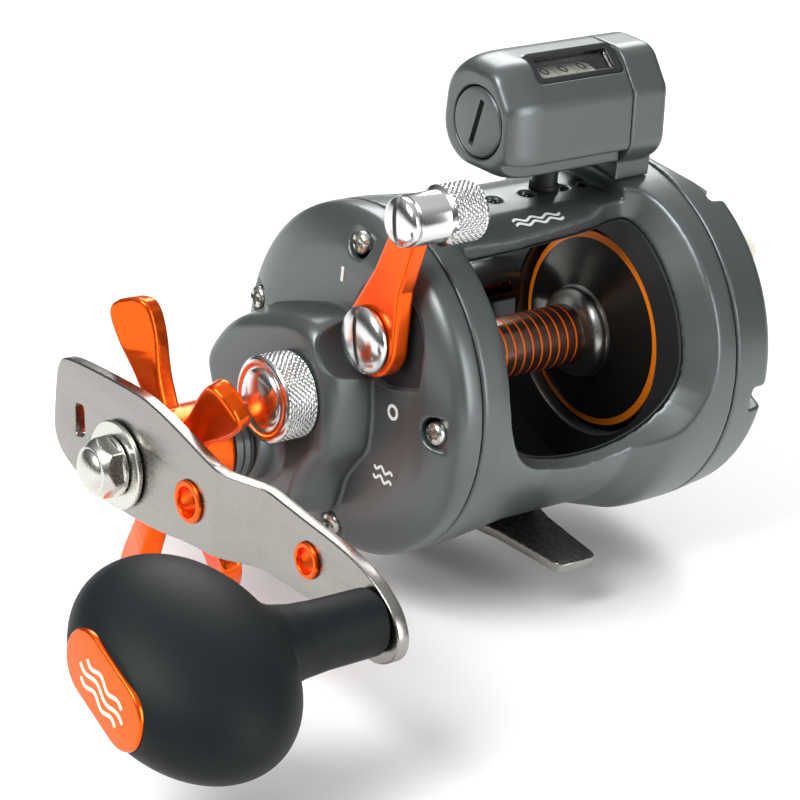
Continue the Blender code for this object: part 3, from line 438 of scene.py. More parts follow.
GUNMETAL = coat("gunmetal_satin", (0.105, 0.118, 0.118), 0.36, 0.62, drift=0.07, grain=5200.0, bump=0.22,
                depth=0.00003, coat_weight=0.12, blotch=45.0)
# A near-black gunmetal coat. The counter post wears it, and it is painted shade on the thin sheets inside
# the frame's wall and on the lever pocket's floor.
DARK_GUNMETAL_PAINTED_SHADE = coat("dark_gunmetal_painted_shade", (0.020, 0.023, 0.024), 0.50, 0.3, grain=5200.0, bump=0.22,
                     depth=0.00003)
ORANGE = coat("orange_anodised", (0.88, 0.10, 0.003), 0.24, 0.82, drift=0.05, grain=3800.0, bump=0.10,
              rough_drift=0.05, blotch=90.0)
ORANGE_GLOW = coat("orange_rim", (1.0, 0.24, 0.010), 0.30, 0.30, drift=0.05, grain=3800.0)
SILVER = coat("bright_plate", (0.66, 0.67, 0.66), 0.19, 1.0, drift=0.03, rough_drift=0.03, grain=3000.0)
PEARL = coat("satin_nickel", (0.56, 0.56, 0.51), 0.27, 1.0, drift=0.04, grain=3000.0, bump=0.10)
BRUSHED = coat("brushed_stainless", (0.29, 0.28, 0.26), 0.27, 1.0, drift=0.05, rough_drift=0.08, grain=900.0,
               bump=0.12, stretch=(8.0, 0.35, 8.0), blotch=30.0)
STEEL = coat("steel", (0.45, 0.45, 0.43), 0.30, 1.0, drift=0.05, rough_drift=0.08, grain=2400.0, bump=0.15)
SMOKE = coat("smoked_alloy", (0.060, 0.056, 0.050), 0.22, 0.85, drift=0.10, rough_drift=0.07, grain=1800.0,
             bump=0.10, stretch=(1.0, 0.5, 0.5), blotch=35.0)
COPPERY = coat("arbor_lands", (0.23, 0.145, 0.105), 0.24, 0.9, drift=0.12, bump=0.12)
SOFT = coat("soft_touch", (0.008, 0.010, 0.011), 0.52, drift=0.12, rough_drift=0.08, grain=2600.0,
            bump=0.25, depth=0.00003, specular=0.14, blotch=80.0)
RUBBER = coat("seal_rubber", (0.012, 0.012, 0.012), 0.55, grain=2600.0, bump=0.25)
BRASS = coat("gear_brass", (0.62, 0.43, 0.15), 0.32, 1.0, drift=0.08, grain=2200.0, bump=0.15)
FIBRE = coat("drag_fibre", (0.05, 0.045, 0.04), 0.82, drift=0.25, grain=1500.0, bump=0.6, depth=0.00006)
IVORY = coat("ivory_plastic", (0.78, 0.74, 0.62), 0.42, drift=0.03, grain=2200.0, bump=0.08)
BLACK = coat("black_plastic", (0.012, 0.013, 0.014), 0.35, grain=2600.0, bump=0.12)
PRINT = coat("pale_print", (0.66, 0.68, 0.66), 0.45, drift=0.03, grain=4000.0, bump=0.05)
CREAM = coat("cream_print", (0.88, 0.82, 0.60), 0.42, drift=0.03, grain=4000.0, bump=0.05)
GLASS = coat("clear_window", (0.92, 0.95, 0.95), 0.06, drift=0.01, rough_drift=0.02)
for name, value in (("Transmission Weight", 1.0), ("IOR", 1.45)):
    GLASS.node_tree.nodes["Principled BSDF"].inputs[name].default_value = value

NODE_COATS = (
    (STEEL, (
        "foot_screw_1", "foot_screw_2", "spool_shaft", "spool_bearing_handle", "spool_bearing_palm",
        "main_shaft", "drag_metal_washer", "ratchet_wheel", "anti_reverse_dog", "pinion_yoke",
        "yoke_spring_1", "yoke_spring_2", "clutch_cam", "guide_pawl", "knob_post",
    )),
    (BRASS, ("spool_gear", "idler_gear", "worm_gear", "main_gear", "pinion_gear")),
    (FIBRE, ("drag_fibre_washer_1", "drag_fibre_washer_2")),
    (SMOKE, ("bridge_plate",)),
    (IVORY, ("digit_wheel_1", "digit_wheel_2", "digit_wheel_3")),
)


def dress_nodes():
    """Gives the CAD nodes that stay their finish."""
    for finish, names in NODE_COATS:
        for name in names:
            mesh = frame["nodes"][name].data
            mesh.materials.clear()
            mesh.materials.append(finish)
            mesh.shade_smooth()
            mesh.set_sharp_from_angle(angle=math.radians(28.0))


# ------------ frame

SEAM = extent("frame")[1][0]
PALM_RADIUS = extent("palm_side_plate")[1][1]
HANDLE_RADIUS = extent("handle_side_plate")[1][1]
WAIST = 37.5
WALL_INSIDE = 34.3
BAR_TOP = 37.0
BOTTOM = -38.5


def window(loop):
    """A cutter for an opening in the round wall, from (degrees, x) inside and (degrees, x) outside."""
    rings = []
    for reach, far in ((30.0, 30.0), (43.5, 43.5), (43.5, 95.0)):
        share = (reach - WALL_INSIDE) / (PALM_RADIUS - WALL_INSIDE)
        rings.append([(x + share * (wide - x), *polar(far, a + share * (b - a)))
                      for a, x, b, wide in flowing(loop, 5)])
    work = opened(skinned(rings))
    bmesh.ops.triangulate(work, faces=[face for face in work.faces if len(face.verts) > 4])
    return closed(work)


REAR_WINDOW = [
    (-25.0, -27.8, -24.0, -27.8), (-25.0, -27.8, -24.0, -27.8), (-24.0, -8.0, -22.6, -8.0),
    (-21.5, 11.0, -19.5, 10.0), (-19.6, 19.0, -16.0, 17.5), (-20.4, 22.8, -16.2, 23.0),
    (-26.0, 24.4, -23.0, 27.0), (-38.0, 24.8, -38.0, 28.8), (-53.0, 25.0, -53.0, 29.3),
    (-67.0, 25.0, -67.0, 29.6), (-79.0, 24.8, -79.0, 29.2), (-88.5, 23.2, -89.5, 27.4),
    (-97.0, 19.2, -100.0, 22.9), (-104.0, 13.4, -107.5, 16.4), (-108.3, 5.0, -112.0, 6.5),
    (-108.6, -5.0, -112.0, -4.0), (-104.5, -15.5, -107.4, -15.5), (-97.0, -22.5, -100.0, -22.5),
    (-88.0, -26.4, -89.0, -26.4), (-77.0, -27.8, -77.0, -27.8), (-58.0, -27.8, -58.0, -27.8),
    (-40.0, -27.8, -40.0, -27.8),
]
FRONT_WINDOW = [(a, x, a, x) for a, x in (
    (22.0, -27.0), (22.0, 0.0), (22.5, 24.0), (40.0, 25.0), (72.0, 25.0), (104.0, 25.0), (121.0, 22.0),
    (124.0, 0.0), (121.0, -25.0), (104.0, -27.8), (72.0, -27.8), (40.0, -27.8),
)]
BAR_SCREWS = (-5.8, 3.8, 13.3, 19.5)


def make_frame():
    """The one-piece frame with its two rings, top bar and bottom."""
    handle_side = [(-12.0, WAIST), (-22.0, 38.6), (-30.0, 39.4), (-SEAM, HANDLE_RADIUS)]
    inside = [
        (-SEAM, 24.5), (-32.0, 24.5), (-32.0, WALL_INSIDE), (26.5, WALL_INSIDE), (26.5, 24.5), (30.5, 24.5),
        (30.5, 38.6), (SEAM, 38.6),
    ]
    palm_side = [(SEAM, PALM_RADIUS), (24.0, PALM_RADIUS), (18.0, 39.6), (12.0, WAIST)]
    outside = flowing(palm_side, 4, closed=False)
    base = lathe(outside + handle_side + inside, SPOOL, 180, ring=True)
    tools = [
        window(REAR_WINDOW),
        window(FRONT_WINDOW),
        block((-26, 22), (-20, 20), (BAR_TOP, 50)),
        block((-18, 25.6), (-30, 30), (-60, -36.2)),
        block((-60, 60), (-30, 30), (-60, BOTTOM)),
        rod(-40.0, 32.0, 2.9, WORM),
    ]
    tools += [rod(BAR_TOP - 1.6, 42.0, 1.9, (x, 0.8), 32, "Z") for x in BAR_SCREWS]
    mesh = cast(carved(base, tools), 0.42, 14)
    emit("frame_casting", mesh, "reel_body", GUNMETAL, ["frame"], 60.0)
    # A thin dark sheet just inside the frame's wall, cut with the same windows. It is painted shade on the
    # frame's inner face.
    skin = [
        (-31.9, 34.25), (26.4, 34.25), (26.4, 24.9), (26.15, 24.9), (26.15, 34.0), (-31.65, 34.0),
        (-31.65, 24.9), (-31.9, 24.9),
    ]
    shade_sheet = carved(lathe(skin, SPOOL, 180, ring=True), [window(REAR_WINDOW), window(FRONT_WINDOW)])
    emit("frame_painted_shade_sheet", shade_sheet, "reel_body", DARK_GUNMETAL_PAINTED_SHADE, (), 30.0)


def screw(name, start, end, radius, centre, node=None, axis="X"):
    """A small pan-head screw with a cross recess; end is its outer face. Dark if it's no CAD node."""
    rise = end - start
    dome = domed(end - 0.7 * rise, 0.7 * rise, radius, 8, 0.6)
    mesh = lathe([(start, 0.0), (start, radius)] + dome + [(end, 0.0)], centre, 48, axis)
    wide, long = radius * 0.22, radius * 0.72
    low, high = sorted((end - 0.55 * rise, end + math.copysign(2.0, rise)))
    tools = []
    for across, up in ((wide, long), (long, wide)):
        box = rectangle(centre[0] - across, centre[0] + across, centre[1] - up, centre[1] + up)
        tools.append(slab([box], low, high, facing=axis))
    finish, stands_for, slot = (PEARL, [node], "stainless") if node else (BLACK, (), None)
    emit(name, carved(mesh, tools), "reel_body", finish, stands_for, 30.0)


def make_bar_screws():
    """The four small dark screws in the top bar."""
    for i, x in enumerate(BAR_SCREWS):
        screw(f"bar_screw_{i + 1}", BAR_TOP - 1.5, BAR_TOP - 0.25, 1.6, (x, 0.8), axis="Z")


def make_foot():
    """The stainless foot, thick in the middle and thin at its tips."""
    low, high = extent("reel_foot")
    quarter = [(10.0, 0.0), (10.0, 8.0), (7.6, 17.0), (6.4, 28.0), (5.8, 34.6), (5.2, 36.0), (4.2, 36.6)]
    front = quarter + [(-w, y) for w, y in reversed(quarter)]
    rear = [(-w, -y) for w, y in quarter[1:]] + [(w, -y) for w, y in reversed(quarter[1:])]
    mesh = slab([front + rear], low[2], high[2], 0.35, facing="Z", resolution=3)
    slopes = [
        slab([[(side * 12, -34), (side * 45, -34), (side * 45, -37.6)]], -20.0, 20.0) for side in (-1, 1)
    ]
    slopes += [rod(-37.4, -45.0, 3.4, (x, 0.0), 40, "Z") for x in (-5.5, 5.5)]
    emit("foot_plate", carved(mesh, slopes), "reel_body", BRUSHED, ["reel_foot"])


# ------------ side plates

def beside(point, reach):
    """A point moved outwards from the spool axis."""
    length = math.hypot(*point)
    return (point[0] * (length + reach) / length, point[1] * (length + reach) / length)


def screw_well(node, low, high, radius, spread):
    """The D-shaped well round a side-plate screw, its two corners towards the rim."""
    centre = spot(node)
    edge = beside(centre, spread)
    out = Vector((edge[0] - centre[0], edge[1] - centre[1])).normalized()
    corners = [(edge[0] - side * radius * out.y, edge[1] + side * radius * out.x, 0.4) for side in (-1, 1)]
    return slab([hull([(*centre, radius)] + corners)], low, high)


def house(outline, low, high, shrink, middle, edge):
    """A raised block with a well-rounded outer edge, narrower at its outer face."""
    mesh = slab([outline], low, high, edge, resolution=6)
    narrowed(mesh.vertices, middle, lambda x: 1.0 - (1.0 - shrink) * clamped((high - x) / (high - low)))
    return mesh


def make_handle_cover():
    """The cover over the gears: a shallow cup, a raised gear house, two bosses and the lever's pocket."""
    seam, inner = -SEAM - 0.3, -42.8
    outer = [
        (seam, HANDLE_RADIUS), (-38.2, HANDLE_RADIUS), (-40.4, 39.2), (-41.9, 37.6), (-43.4, 34.4),
        (-44.5, 31.0), (-45.0, 27.0), (-45.0, 0.0),
    ]
    cup = soften(outer[:-1], 1.2) + outer[-1:] + [(inner, 0.0), (inner, 31.0), (-40.6, 36.2), (seam, 37.0)]
    base = lathe(cup, SPOOL, 180, ring=True)
    turns = [math.radians(angle) for angle in (0, -20, -40, -60, -80, -100)]
    outline = [(CRANK[0] + 19.8 * math.cos(t), CRANK[1] + 19.8 * math.sin(t)) for t in turns] + [
        (4.0, -33.0), (-3.4, -30.4), (-6.2, -25.8), (-7.6, -20.0), (-10.4, -15.2), (-13.6, -10.6),
        (-14.4, -6.0), (-14.0, 1.0),
        (-12.4, 8.0), (-9.0, 14.6), (-3.4, 18.4), (4.0, 17.8), (11.0, 15.4), (18.5, 12.4), (26.5, 8.2),
        (32.6, 1.8), (36.0, -6.0),
    ]
    added = [
        house(flowing(outline, 8), -56.4, inner - 0.8, 0.905, (14.0, -9.0), 3.2),
        lathe(soften([
            (-50.0, 0.0), (-50.0, 11.6), (-56.5, 11.2), (-57.6, 9.8), (-62.5, 9.4), (-62.5, 0.0),
        ], 1.0), CRANK, 96),
        lathe([(-50.0, 0.0), (-50.0, 7.4), (-57.0, 6.4), (-62.5, 6.0), (-62.5, 0.0)], SPOOL, 72),
    ]
    joined = carved(base, added, "UNION")
    pocket = [(*LEVER, 11.6), (-26.4, 10.6, 0.8)]
    tools = [
        rod(-54.3, inner + 0.5, 17.6, CRANK, 96),
        rod(-54.3, inner + 0.5, 6.5, SPOOL),
        slab([hull([(10.05, 8.05, 3.9), (-10.05, -8.05, 3.9), (*SPOOL, 8.4)])], -43.5, inner + 0.5),
        lathe([(-52.0, 0.0), (-52.0, 4.9), (-59.2, 4.9), (-59.2, 2.2), (-70.0, 2.2), (-70.0, 0.0)], SPOOL),
        rod(-70.0, -50.0, 4.4, CRANK),
        slab([hull(pocket, 96)], -60.0, -43.8),
        rod(-50.0, -40.0, 3.2, LEVER),
        block((-60, -30), (-30, 30), (-60, BOTTOM)),
    ]
    tools += [screw_well(f"plate_screw_{i}", -50.0, -42.4, 3.5, 3.0) for i in (1, 2, 3, 4)]
    mesh = cast(carved(joined, tools), 0.36, 7)
    emit("handle_cover", mesh, "reel_body", GUNMETAL, ["handle_side_plate"], 60.0)
    # A thin dark sheet on the lever pocket's floor. It is painted shade in the pocket.
    floor = slab([hull([(*LEVER, 11.3), (-26.6, 10.6, 0.5)], 96)], -43.95, -43.6)
    emit("lever_pocket_painted_shade", floor, "reel_body", DARK_GUNMETAL_PAINTED_SHADE)
    for i in (1, 2, 3, 4):
        node = f"plate_screw_{i}"
        screw(f"cover_screw_{i}", -42.6, -44.6, 2.6, spot(node), node)


def make_palm_cover():
    """The domed palm cover with its screw wells and the clicker's slot."""
    seam = SEAM + 0.3
    dome = [(49.6, 0.0), (49.6, 33.0), (48.8, 36.6), (47.6, 38.9), (46.0, 40.3), (seam, PALM_RADIUS)]
    cup = soften(dome, 1.6) + [(seam, 38.8), (44.0, 36.0), (46.6, 30.0), (46.6, 0.0)]
    base = lathe(cup, SPOOL, 180)
    wells = [polar(35.8, angle) for angle in (-22, -95, 160, 75)]
    bosses = [rod(SEAM + 1.3, 46.0, 4.4, well) for well in wells]
    bosses.append(rod(40.8, 47.5, 6.6, SPOOL))
    top = extent("clicker_button")[1][0]
    centre = spot("clicker_button")
    inward = (centre[0] * 29.0 / 33.0, centre[1] * 29.0 / 33.0)
    tools = [
        rod(38.0, 45.6, 4.8, SPOOL),
        slab([hull([(*centre, 1.6), (*inward, 1.6)])], 40.0, 60.0),
        block((30, 60), (-30, 30), (-60, BOTTOM)),
        slab([[(33, 44.0), (53, 32.4), (53, 50), (33, 50)]], -24.0, 30.0, facing="Y"),
        slab([circle(SPOOL, 26.0, 128), circle(SPOOL, 24.6, 128)], 49.1, 52.0),
    ]
    tools += [slab([hull([(*well, 3.4), (*beside(well, 6.0), 2.6)])], 42.4, 60.0) for well in wells]
    mesh = cast(carved(carved(base, bosses, "UNION"), tools), 0.42, 6)
    emit("palm_cover", mesh, "reel_body", GUNMETAL, ["palm_side_plate"], 60.0)
    for i in (1, 2, 3):
        node = f"palm_screw_{i}"
        screw(f"palm_cover_screw_{i}", 42.6, 44.5, 2.6, spot(node), node)
    grip = soften([(top, 0.0), (top, 2.2), (52.2, 3.0), (49.9, 3.0), (49.9, 1.3), (45.4, 1.3)], 0.5)
    ridge = lathe(grip + [(45.4, 0.0)], centre, 64,
                  relief=lambda x, angle: 0.12 * math.cos(14 * angle) if x > 50.2 else 0.0)
    emit("clicker_cap", ridge, "clicker", IVORY, ["clicker_button"])


def stroke(points, width, x, proud, name, finish, body="reel_body"):
    """A printed stroke on a face square to x: a flat ribbon along points (y, z)."""
    left, right = [], []
    for i, point in enumerate(points):
        before, after = points[max(0, i - 1)], points[min(len(points) - 1, i + 1)]
        along = Vector((after[0] - before[0], after[1] - before[1])).normalized()
        left.append((point[0] - along.y * width / 2, point[1] + along.x * width / 2))
        right.append((point[0] + along.y * width / 2, point[1] - along.x * width / 2))
    emit(name, slab([left + right[::-1]], x - proud, x + proud), body, finish)


def wave(centre, length, height, lean, count=36):
    """Points (y, z) along a small wave."""
    result = []
    for i in range(count + 1):
        share = i / count - 0.5
        along, up = share * length, height * math.sin(share * 4 * math.pi)
        result.append((centre[0] + along * math.cos(lean) - up * math.sin(lean),
                       centre[1] + along * math.sin(lean) + up * math.cos(lean)))
    return result


def make_marks():
    """Plain marks: a bar and a ring for the lever's two places, waves on the cover and on the top bar."""
    stroke([(2.0, 23.6), (2.0, 27.0)], 0.9, -45.0, 0.12, "mark_engaged", PRINT)
    free = (-20.2, 2.0)
    ring = slab([circle(free, 1.8, 40), circle(free, 1.1, 40)], -45.12, -44.9)
    emit("mark_free", ring, "reel_body", PRINT)
    for i, rise in enumerate((-1.1, 1.1)):
        stroke(wave((-19.3, -13.4 + rise), 6.4, 0.55, 0.0), 0.6, -45.0, 0.12, f"cover_wave_{i + 1}", PRINT)
    steps = 60
    section = ((37.2, -0.55), (37.58, -0.55), (37.58, 0.55), (37.2, 0.55))
    for i, degrees in enumerate((-15.0, -17.3)):
        rings = []
        for k in range(steps + 1):
            x = -8.8 + 13.4 * k / steps
            turn = degrees + 0.75 * math.sin(6 * math.pi * k / steps)
            rings.append([(x, *polar(radius, turn + aside)) for radius, aside in section])
        emit(f"bar_wave_{i + 1}", tidied(skinned(rings), 1e-5), "reel_body", PRINT)


# ------------ spool

def make_spool():
    """The smoked spool: dished flanges with orange rims and an arbor with eleven orange grooves."""
    rim, arbor = 22.9, 7.0
    grooves, land, cut = 11, 2.55, 0.45
    first = 18.2
    palm = [(26.6, 12.0), (29.7, 21.6), (29.7, rim), (28.55, rim), (28.1, 21.35), (25.6, 13.6), (24.6, 10.8)]
    bead = [(24.3, 10.2), (23.3, 10.5), (22.2, 10.1), (21.2, 9.0), (20.8, 7.9), (20.5, arbor)]
    profile = [(-30.6, 1.8), (26.6, 1.8), *palm, *bead]
    flange, glow, lands, bright = range(4)
    bands = [flange] * (len(palm) + 1) + [bright] * len(bead)
    bands[3:6] = [glow] * 3
    for i in range(grooves):
        x = first - i * land
        profile += [(x, arbor), (x - 0.05, arbor - 0.22), (x - cut, arbor - 0.22), (x - cut - 0.05, arbor)]
        bands += [lands, glow, glow, glow]
    profile += [
        (-26.0, arbor), (-28.2, 8.8), (-29.0, 12.0), (-32.1, 21.35), (-32.85, rim), (-34.0, rim),
        (-34.0, 21.6), (-30.8, 12.0),
    ]
    bands += [lands] + [flange] * 3 + [glow] * 3 + [flange] * 2
    mesh = lathe(profile, SPOOL, 160, ring=True, bands=bands)
    finishes = [SMOKE, ORANGE_GLOW, COPPERY, STEEL]
    emit("spool_body", mesh, "spool_set", finishes, ["spool"], 38.0)


def make_levelwind():
    """The slotted shield, the cross-threaded worm, and the guide that rides over them."""
    shield = lathe(rectangle(-31.6, 26.1, 5.2, 4.2), WORM, 96, ring=True)
    y, z = WORM
    slot = slab([rectangle(y - 10.0, y - 3.0, z - 1.6, z + 1.6)], -29.0, 23.6)
    emit("shield_tube", carved(shield, [slot]), "reel_body", BLACK, ["levelwind_shield"])

    def thread(x, angle):
        if not -29.0 < x < 24.0:
            return 0.0
        turns = x / 7.0 * 2 * math.pi
        return -0.55 * max(math.cos(angle - turns) ** 16, math.cos(angle + turns) ** 16)

    steps = 220
    profile = [(-34.6, 0.0), (-34.6, 2.2), (-34.3, 2.5)]
    profile += [(-34.0 + 68.6 * i / steps, 2.5) for i in range(steps + 1)] + [(34.9, 2.2), (34.9, 0.0)]
    emit("worm", lathe(profile, WORM, 48, relief=thread), "worm", ORANGE, ["worm_shaft"],
         50.0)
    middle = middle_of("line_guide")[0]
    sleeve = soften(rectangle(middle - 4.5, middle + 4.5, 7.0, 5.55), 0.5, True)
    stem = slab([rectangle(y - 1.4, y + 1.6, z + 6.0, z + 9.4)], middle - 2.2, middle + 2.2, 0.3)
    ring = soften(rectangle(y + 2.2, y - 2.0, 5.8, 3.6), 0.9, True)
    eye = lathe(ring, (middle, z + 13.6), 96, "Y", ring=True)
    body = carved(lathe(sleeve, WORM, 96, ring=True), [stem, eye], "UNION")
    bore = rod(y - 12.0, y - 3.0, 1.9, (middle, z), 32, "Y")
    emit("guide_carriage", carved(body, [bore]), "guide", SILVER, ["line_guide"])


# ------------ crank side

def make_star():
    """The five-armed drag star, its arms twisted towards their tips."""
    hub = [
        (-68.3, 9.4), (-68.9, 10.1), (-84.6, 10.1), (-85.6, 9.0), (-85.6, 7.0), (-88.4, 7.0), (-88.4, 4.3),
        (-68.3, 4.3),
    ]
    outline = [(6.5, 4.2), (12.0, 3.4), (18.0, 3.9), (26.0, 5.5), (31.0, 5.8), (33.6, 4.7), (34.7, 1.9)]
    half = flowing(outline, 4, closed=False)
    edge = [(-w, r) for r, w in half] + [(w, r) for r, w in reversed(half)]
    arms = []
    for i in range(5):
        arm = opened(slab([edge], -2.4, 2.4, 0.9, facing="Z", resolution=3))
        sliced(arm, [(0, 8.0 + 2.0 * k, 0) for k in range(14)], (0, 1, 0))
        for vertex in arm.verts:
            across, reach, depth = vertex.co
            twist = math.radians(-18.0) * clamped((reach - 9.0) / 15.0)
            lean = -2.5 * max(0.0, reach - 12.0) / 20.0
            vertex.co.x = across * math.cos(twist) - depth * math.sin(twist)
            vertex.co.z = across * math.sin(twist) + depth * math.cos(twist) + lean
        mesh = closed(arm)
        turn = Matrix.Rotation(math.radians(-26.0 - 72.0 * i), 4, "Z")
        stand = Matrix.Rotation(math.pi / 2, 4, "Z") @ Matrix.Rotation(math.pi / 2, 4, "X")
        mesh.transform(Matrix.Translation((-79.0, *CRANK)) @ stand @ turn)
        arms.append(mesh)
    star = carved(lathe(hub, CRANK, 96, ring=True), arms, "UNION")
    emit("star_wheel", cast(star, 0.26, 9), "star", ORANGE, ["star_drag"], 60.0)


def make_collars():
    """The seal and the grooved spacer behind the star."""
    seal = lathe(soften(rectangle(-62.8, -64.2, 9.2, 4.3), 0.5, True), CRANK, 96, ring=True)
    emit("seal", seal, body_of("seal_ring"), RUBBER, ["seal_ring"])
    collar = [
        (-64.5, 9.6), (-65.8, 9.6), (-66.0, 9.2), (-66.3, 9.2), (-66.5, 9.6), (-68.0, 9.6), (-68.0, 4.3),
        (-64.5, 4.3),
    ]
    emit("collar", lathe(collar, CRANK, 96, ring=True), body_of("spacer_collar"), GUNMETAL,
         ["spacer_collar"])


ARM_TILT = math.radians(3.0)
ARM_FRONT = extent("handle_arm")[0][0]
ARM_THICKNESS = 3.0
ARM_STEP = 5.0
ARM_STEP_START = 34.0
ARM_STEP_LENGTH = 14.0


def arm_point(along, across):
    """A point (y, z) of the arm, from the crank axis towards the knob and then upwards."""
    y = CRANK[0] - along * math.cos(ARM_TILT) + across * math.sin(ARM_TILT)
    z = CRANK[1] + along * math.sin(ARM_TILT) + across * math.cos(ARM_TILT)
    return (y, z)


def arm_share(y, z):
    """How far along the step a point is, from 0 to 1."""
    away = (CRANK[0] - y) * math.cos(ARM_TILT) + (z - CRANK[1]) * math.sin(ARM_TILT)
    share = clamped((away - ARM_STEP_START) / ARM_STEP_LENGTH)
    return share * share * (3.0 - 2.0 * share)


def make_arm():
    """The stainless arm with rounded edges, stepped in towards the reel before the knob."""
    outline = [
        (-26.4, 9.5), (-25.6, 13.9), (-22.6, 16.2), (-12.0, 17.4), (4.7, 18.2), (12.0, 17.6), (19.4, 16.2),
        (34.0, 12.8), (45.0, 11.6), (58.0, 10.4), (71.7, 9.2), (81.0, 7.2), (87.6, 4.0), (91.0, 0.4),
        (92.2, -3.4), (91.0, -7.0), (87.6, -9.6), (83.0, -10.4), (76.0, -8.9), (63.0, -6.4), (50.0, -6.4),
        (38.0, -6.8), (26.0, -7.8), (14.4, -9.6), (1.0, -10.5), (-6.0, -10.2), (-15.0, -9.0), (-21.9, -6.6),
        (-25.4, -3.4), (-26.5, 0.5),
    ]
    edge = [arm_point(a, b) for a, b in flowing(outline, 5)]
    slot = soften([(-17.6, 0.0), (-14.0, 0.9), (-15.0, 7.8), (-18.6, 7.2)], 1.2, True)
    holes = [
        circle(CRANK, 3.5), circle(arm_point(26.5, 2.0), 4.2), circle(arm_point(61.6, 2.2), 3.6),
        circle(arm_point(83.9, -1.4), 3.3), [arm_point(a, b) for a, b in slot],
    ]
    mesh = slab([edge] + holes, ARM_FRONT, ARM_FRONT + ARM_THICKNESS, 0.45, resolution=3)
    work = opened(mesh)
    normal = (0.0, -math.cos(ARM_TILT), math.sin(ARM_TILT))
    sliced(work, [(0.0, *arm_point(ARM_STEP_START + i, 0.0)) for i in range(15)], normal)
    for vertex in work.verts:
        vertex.co.x += ARM_STEP * arm_share(vertex.co.y, vertex.co.z)
    emit("crank_arm", closed(work), "handle", BRUSHED, ["handle_arm"], 38.0)
    for name, node, place_at, step, bore, rim in (
        ("inner", "arm_liner_inner", (26.5, 2.0), 0.0, 3.2, 0.9),
        ("outer", "arm_liner_outer", (61.6, 2.2), ARM_STEP, 2.6, 0.7),
    ):
        front = ARM_FRONT + step
        back = front + ARM_THICKNESS + 0.3
        ring = soften([
            (back, bore + 0.7), (front - 0.05, bore + 0.7), (front - 0.05, bore + 0.7 + rim),
            (front - 0.8, bore + 0.5 + rim), (front - 0.9, bore + 0.2), (front, bore), (back, bore),
        ], 0.35, True)
        emit(f"liner_{name}", lathe(ring, arm_point(*place_at), 72, ring=True), "handle", ORANGE, [node])


def make_nut():
    """The washer and the domed hexagon nut."""
    disc = soften(rectangle(-93.5, -92.3, 9.8, 3.6), 0.5, True)
    emit("arm_washer", lathe(disc, CRANK, 96, ring=True), "handle", PEARL, ["handle_washer"])
    turns = [math.radians(12.0 + 60.0 * i) for i in range(6)]
    corners = [(CRANK[0] + 6.9 * math.cos(t), CRANK[1] + 6.9 * math.sin(t)) for t in turns]
    prism = slab([soften(corners, 0.5, True)], -99.5, -94.0, 0.25)
    cone = lathe([(-93.0, 0.0), (-93.0, 7.9), (-96.9, 7.0), (-99.4, 5.2), (-100.5, 0.0)], CRANK, 96)
    hexagon = carved(prism, [cone], "INTERSECT")
    flange = [(-93.85, 0.0), (-93.85, 6.8), (-94.7, 6.7), (-95.3, 5.0), (-95.3, 0.0)]
    skirt = lathe(soften(flange, 0.3), CRANK, 96)
    dome = [(-97.0, 0.0), (-97.0, 4.9)] + domed(-98.6, -2.9, 4.9, 10) + [(-101.5, 0.0)]
    nut = carved(hexagon, [skirt, lathe(dome, CRANK, 96)], "UNION")
    emit("arm_nut", cast(nut, 0.16, 3), "handle", PEARL, ["handle_nut"], 60.0)


def make_knob():
    """The soft egg-shaped knob blending into its neck, and its badge."""
    centre_x, end = -131.6, extent("handle_knob")[0][0]
    long_axis, short_axis, depth = 26.6, 14.6, 21.2
    tilt = math.radians(20.0)
    rise = 0.9
    work = bmesh.new()
    bmesh.ops.create_uvsphere(work, u_segments=96, v_segments=64, radius=1.0)
    for vertex in work.verts:
        a, b = vertex.co.x * long_axis, vertex.co.y * short_axis
        vertex.co = (centre_x + vertex.co.z * depth,
                     KNOB[0] - a * math.cos(tilt) + b * math.sin(tilt),
                     KNOB[1] + rise - a * math.sin(tilt) - b * math.cos(tilt))
    egg = closed(work)
    start = ARM_FRONT + ARM_STEP - 0.4
    neck = [(start, 0.0), (start, 6.7), (start - 0.8, 7.0), (-100.0, 7.1), (-106.0, 7.5), (-111.0, 8.5),
            (-115.0, 10.2), (-118.0, 12.2), (-124.0, 0.0)]
    shape = carved(egg, [lathe(neck, KNOB, 96)], "UNION")
    reach, radius = 6.2, 7.2
    lean = (reach * math.cos(tilt), reach * math.sin(tilt))
    middle = KNOB[1] + rise
    ends = [(KNOB[0] - lean[0], middle - lean[1]), (KNOB[0] + lean[0], middle + lean[1])]
    tools = [
        block((-170, end + 0.15), (KNOB[0] - 40, KNOB[0] + 40), (KNOB[1] - 40, KNOB[1] + 40)),
        rod(-126.0, -80.0, 3.4, KNOB),
    ]
    mesh = cast(carved(shape, tools), 0.42, 14)
    emit("grip", mesh, "knob", SOFT, ["handle_knob"], 60.0)
    oval = hull([(*place_at, radius) for place_at in ends], 80)
    face = slab([oval], end - 0.55, end + 1.2, 0.55, resolution=4)
    emit("grip_badge", face, "knob", ORANGE, ["knob_badge"], 50.0)
    for i, offset in enumerate((-1.7, 0.7, 3.1)):
        at = (KNOB[0] + offset * math.sin(tilt), middle - offset * math.cos(tilt))
        size = 13.0 if i != 1 else 16.0
        stroke(wave(at, size, 0.65, tilt), 0.85, end - 0.55, 0.06, f"badge_wave_{i + 1}", CREAM, "knob")


# ------------ bright knobs and lever

def knurl(starts, depth, low, high, lead):
    """A diamond knurl between two places along the axis."""
    def relief(x, angle):
        if not low < x < high:
            return 0.0
        fade = min(1.0, (x - low) / 0.3, (high - x) / 0.3)
        near = min(abs(math.sin(starts / 2 * (angle + side * x * lead))) for side in (-1, 1))
        return -depth * fade * max(0.0, 1.0 - near / 0.5)
    return relief


def straight(start, end, radius, rows=44):
    """Profile points along a band, close enough together for its knurl."""
    return [(start + (end - start) * i / rows, radius) for i in range(rows + 1)]


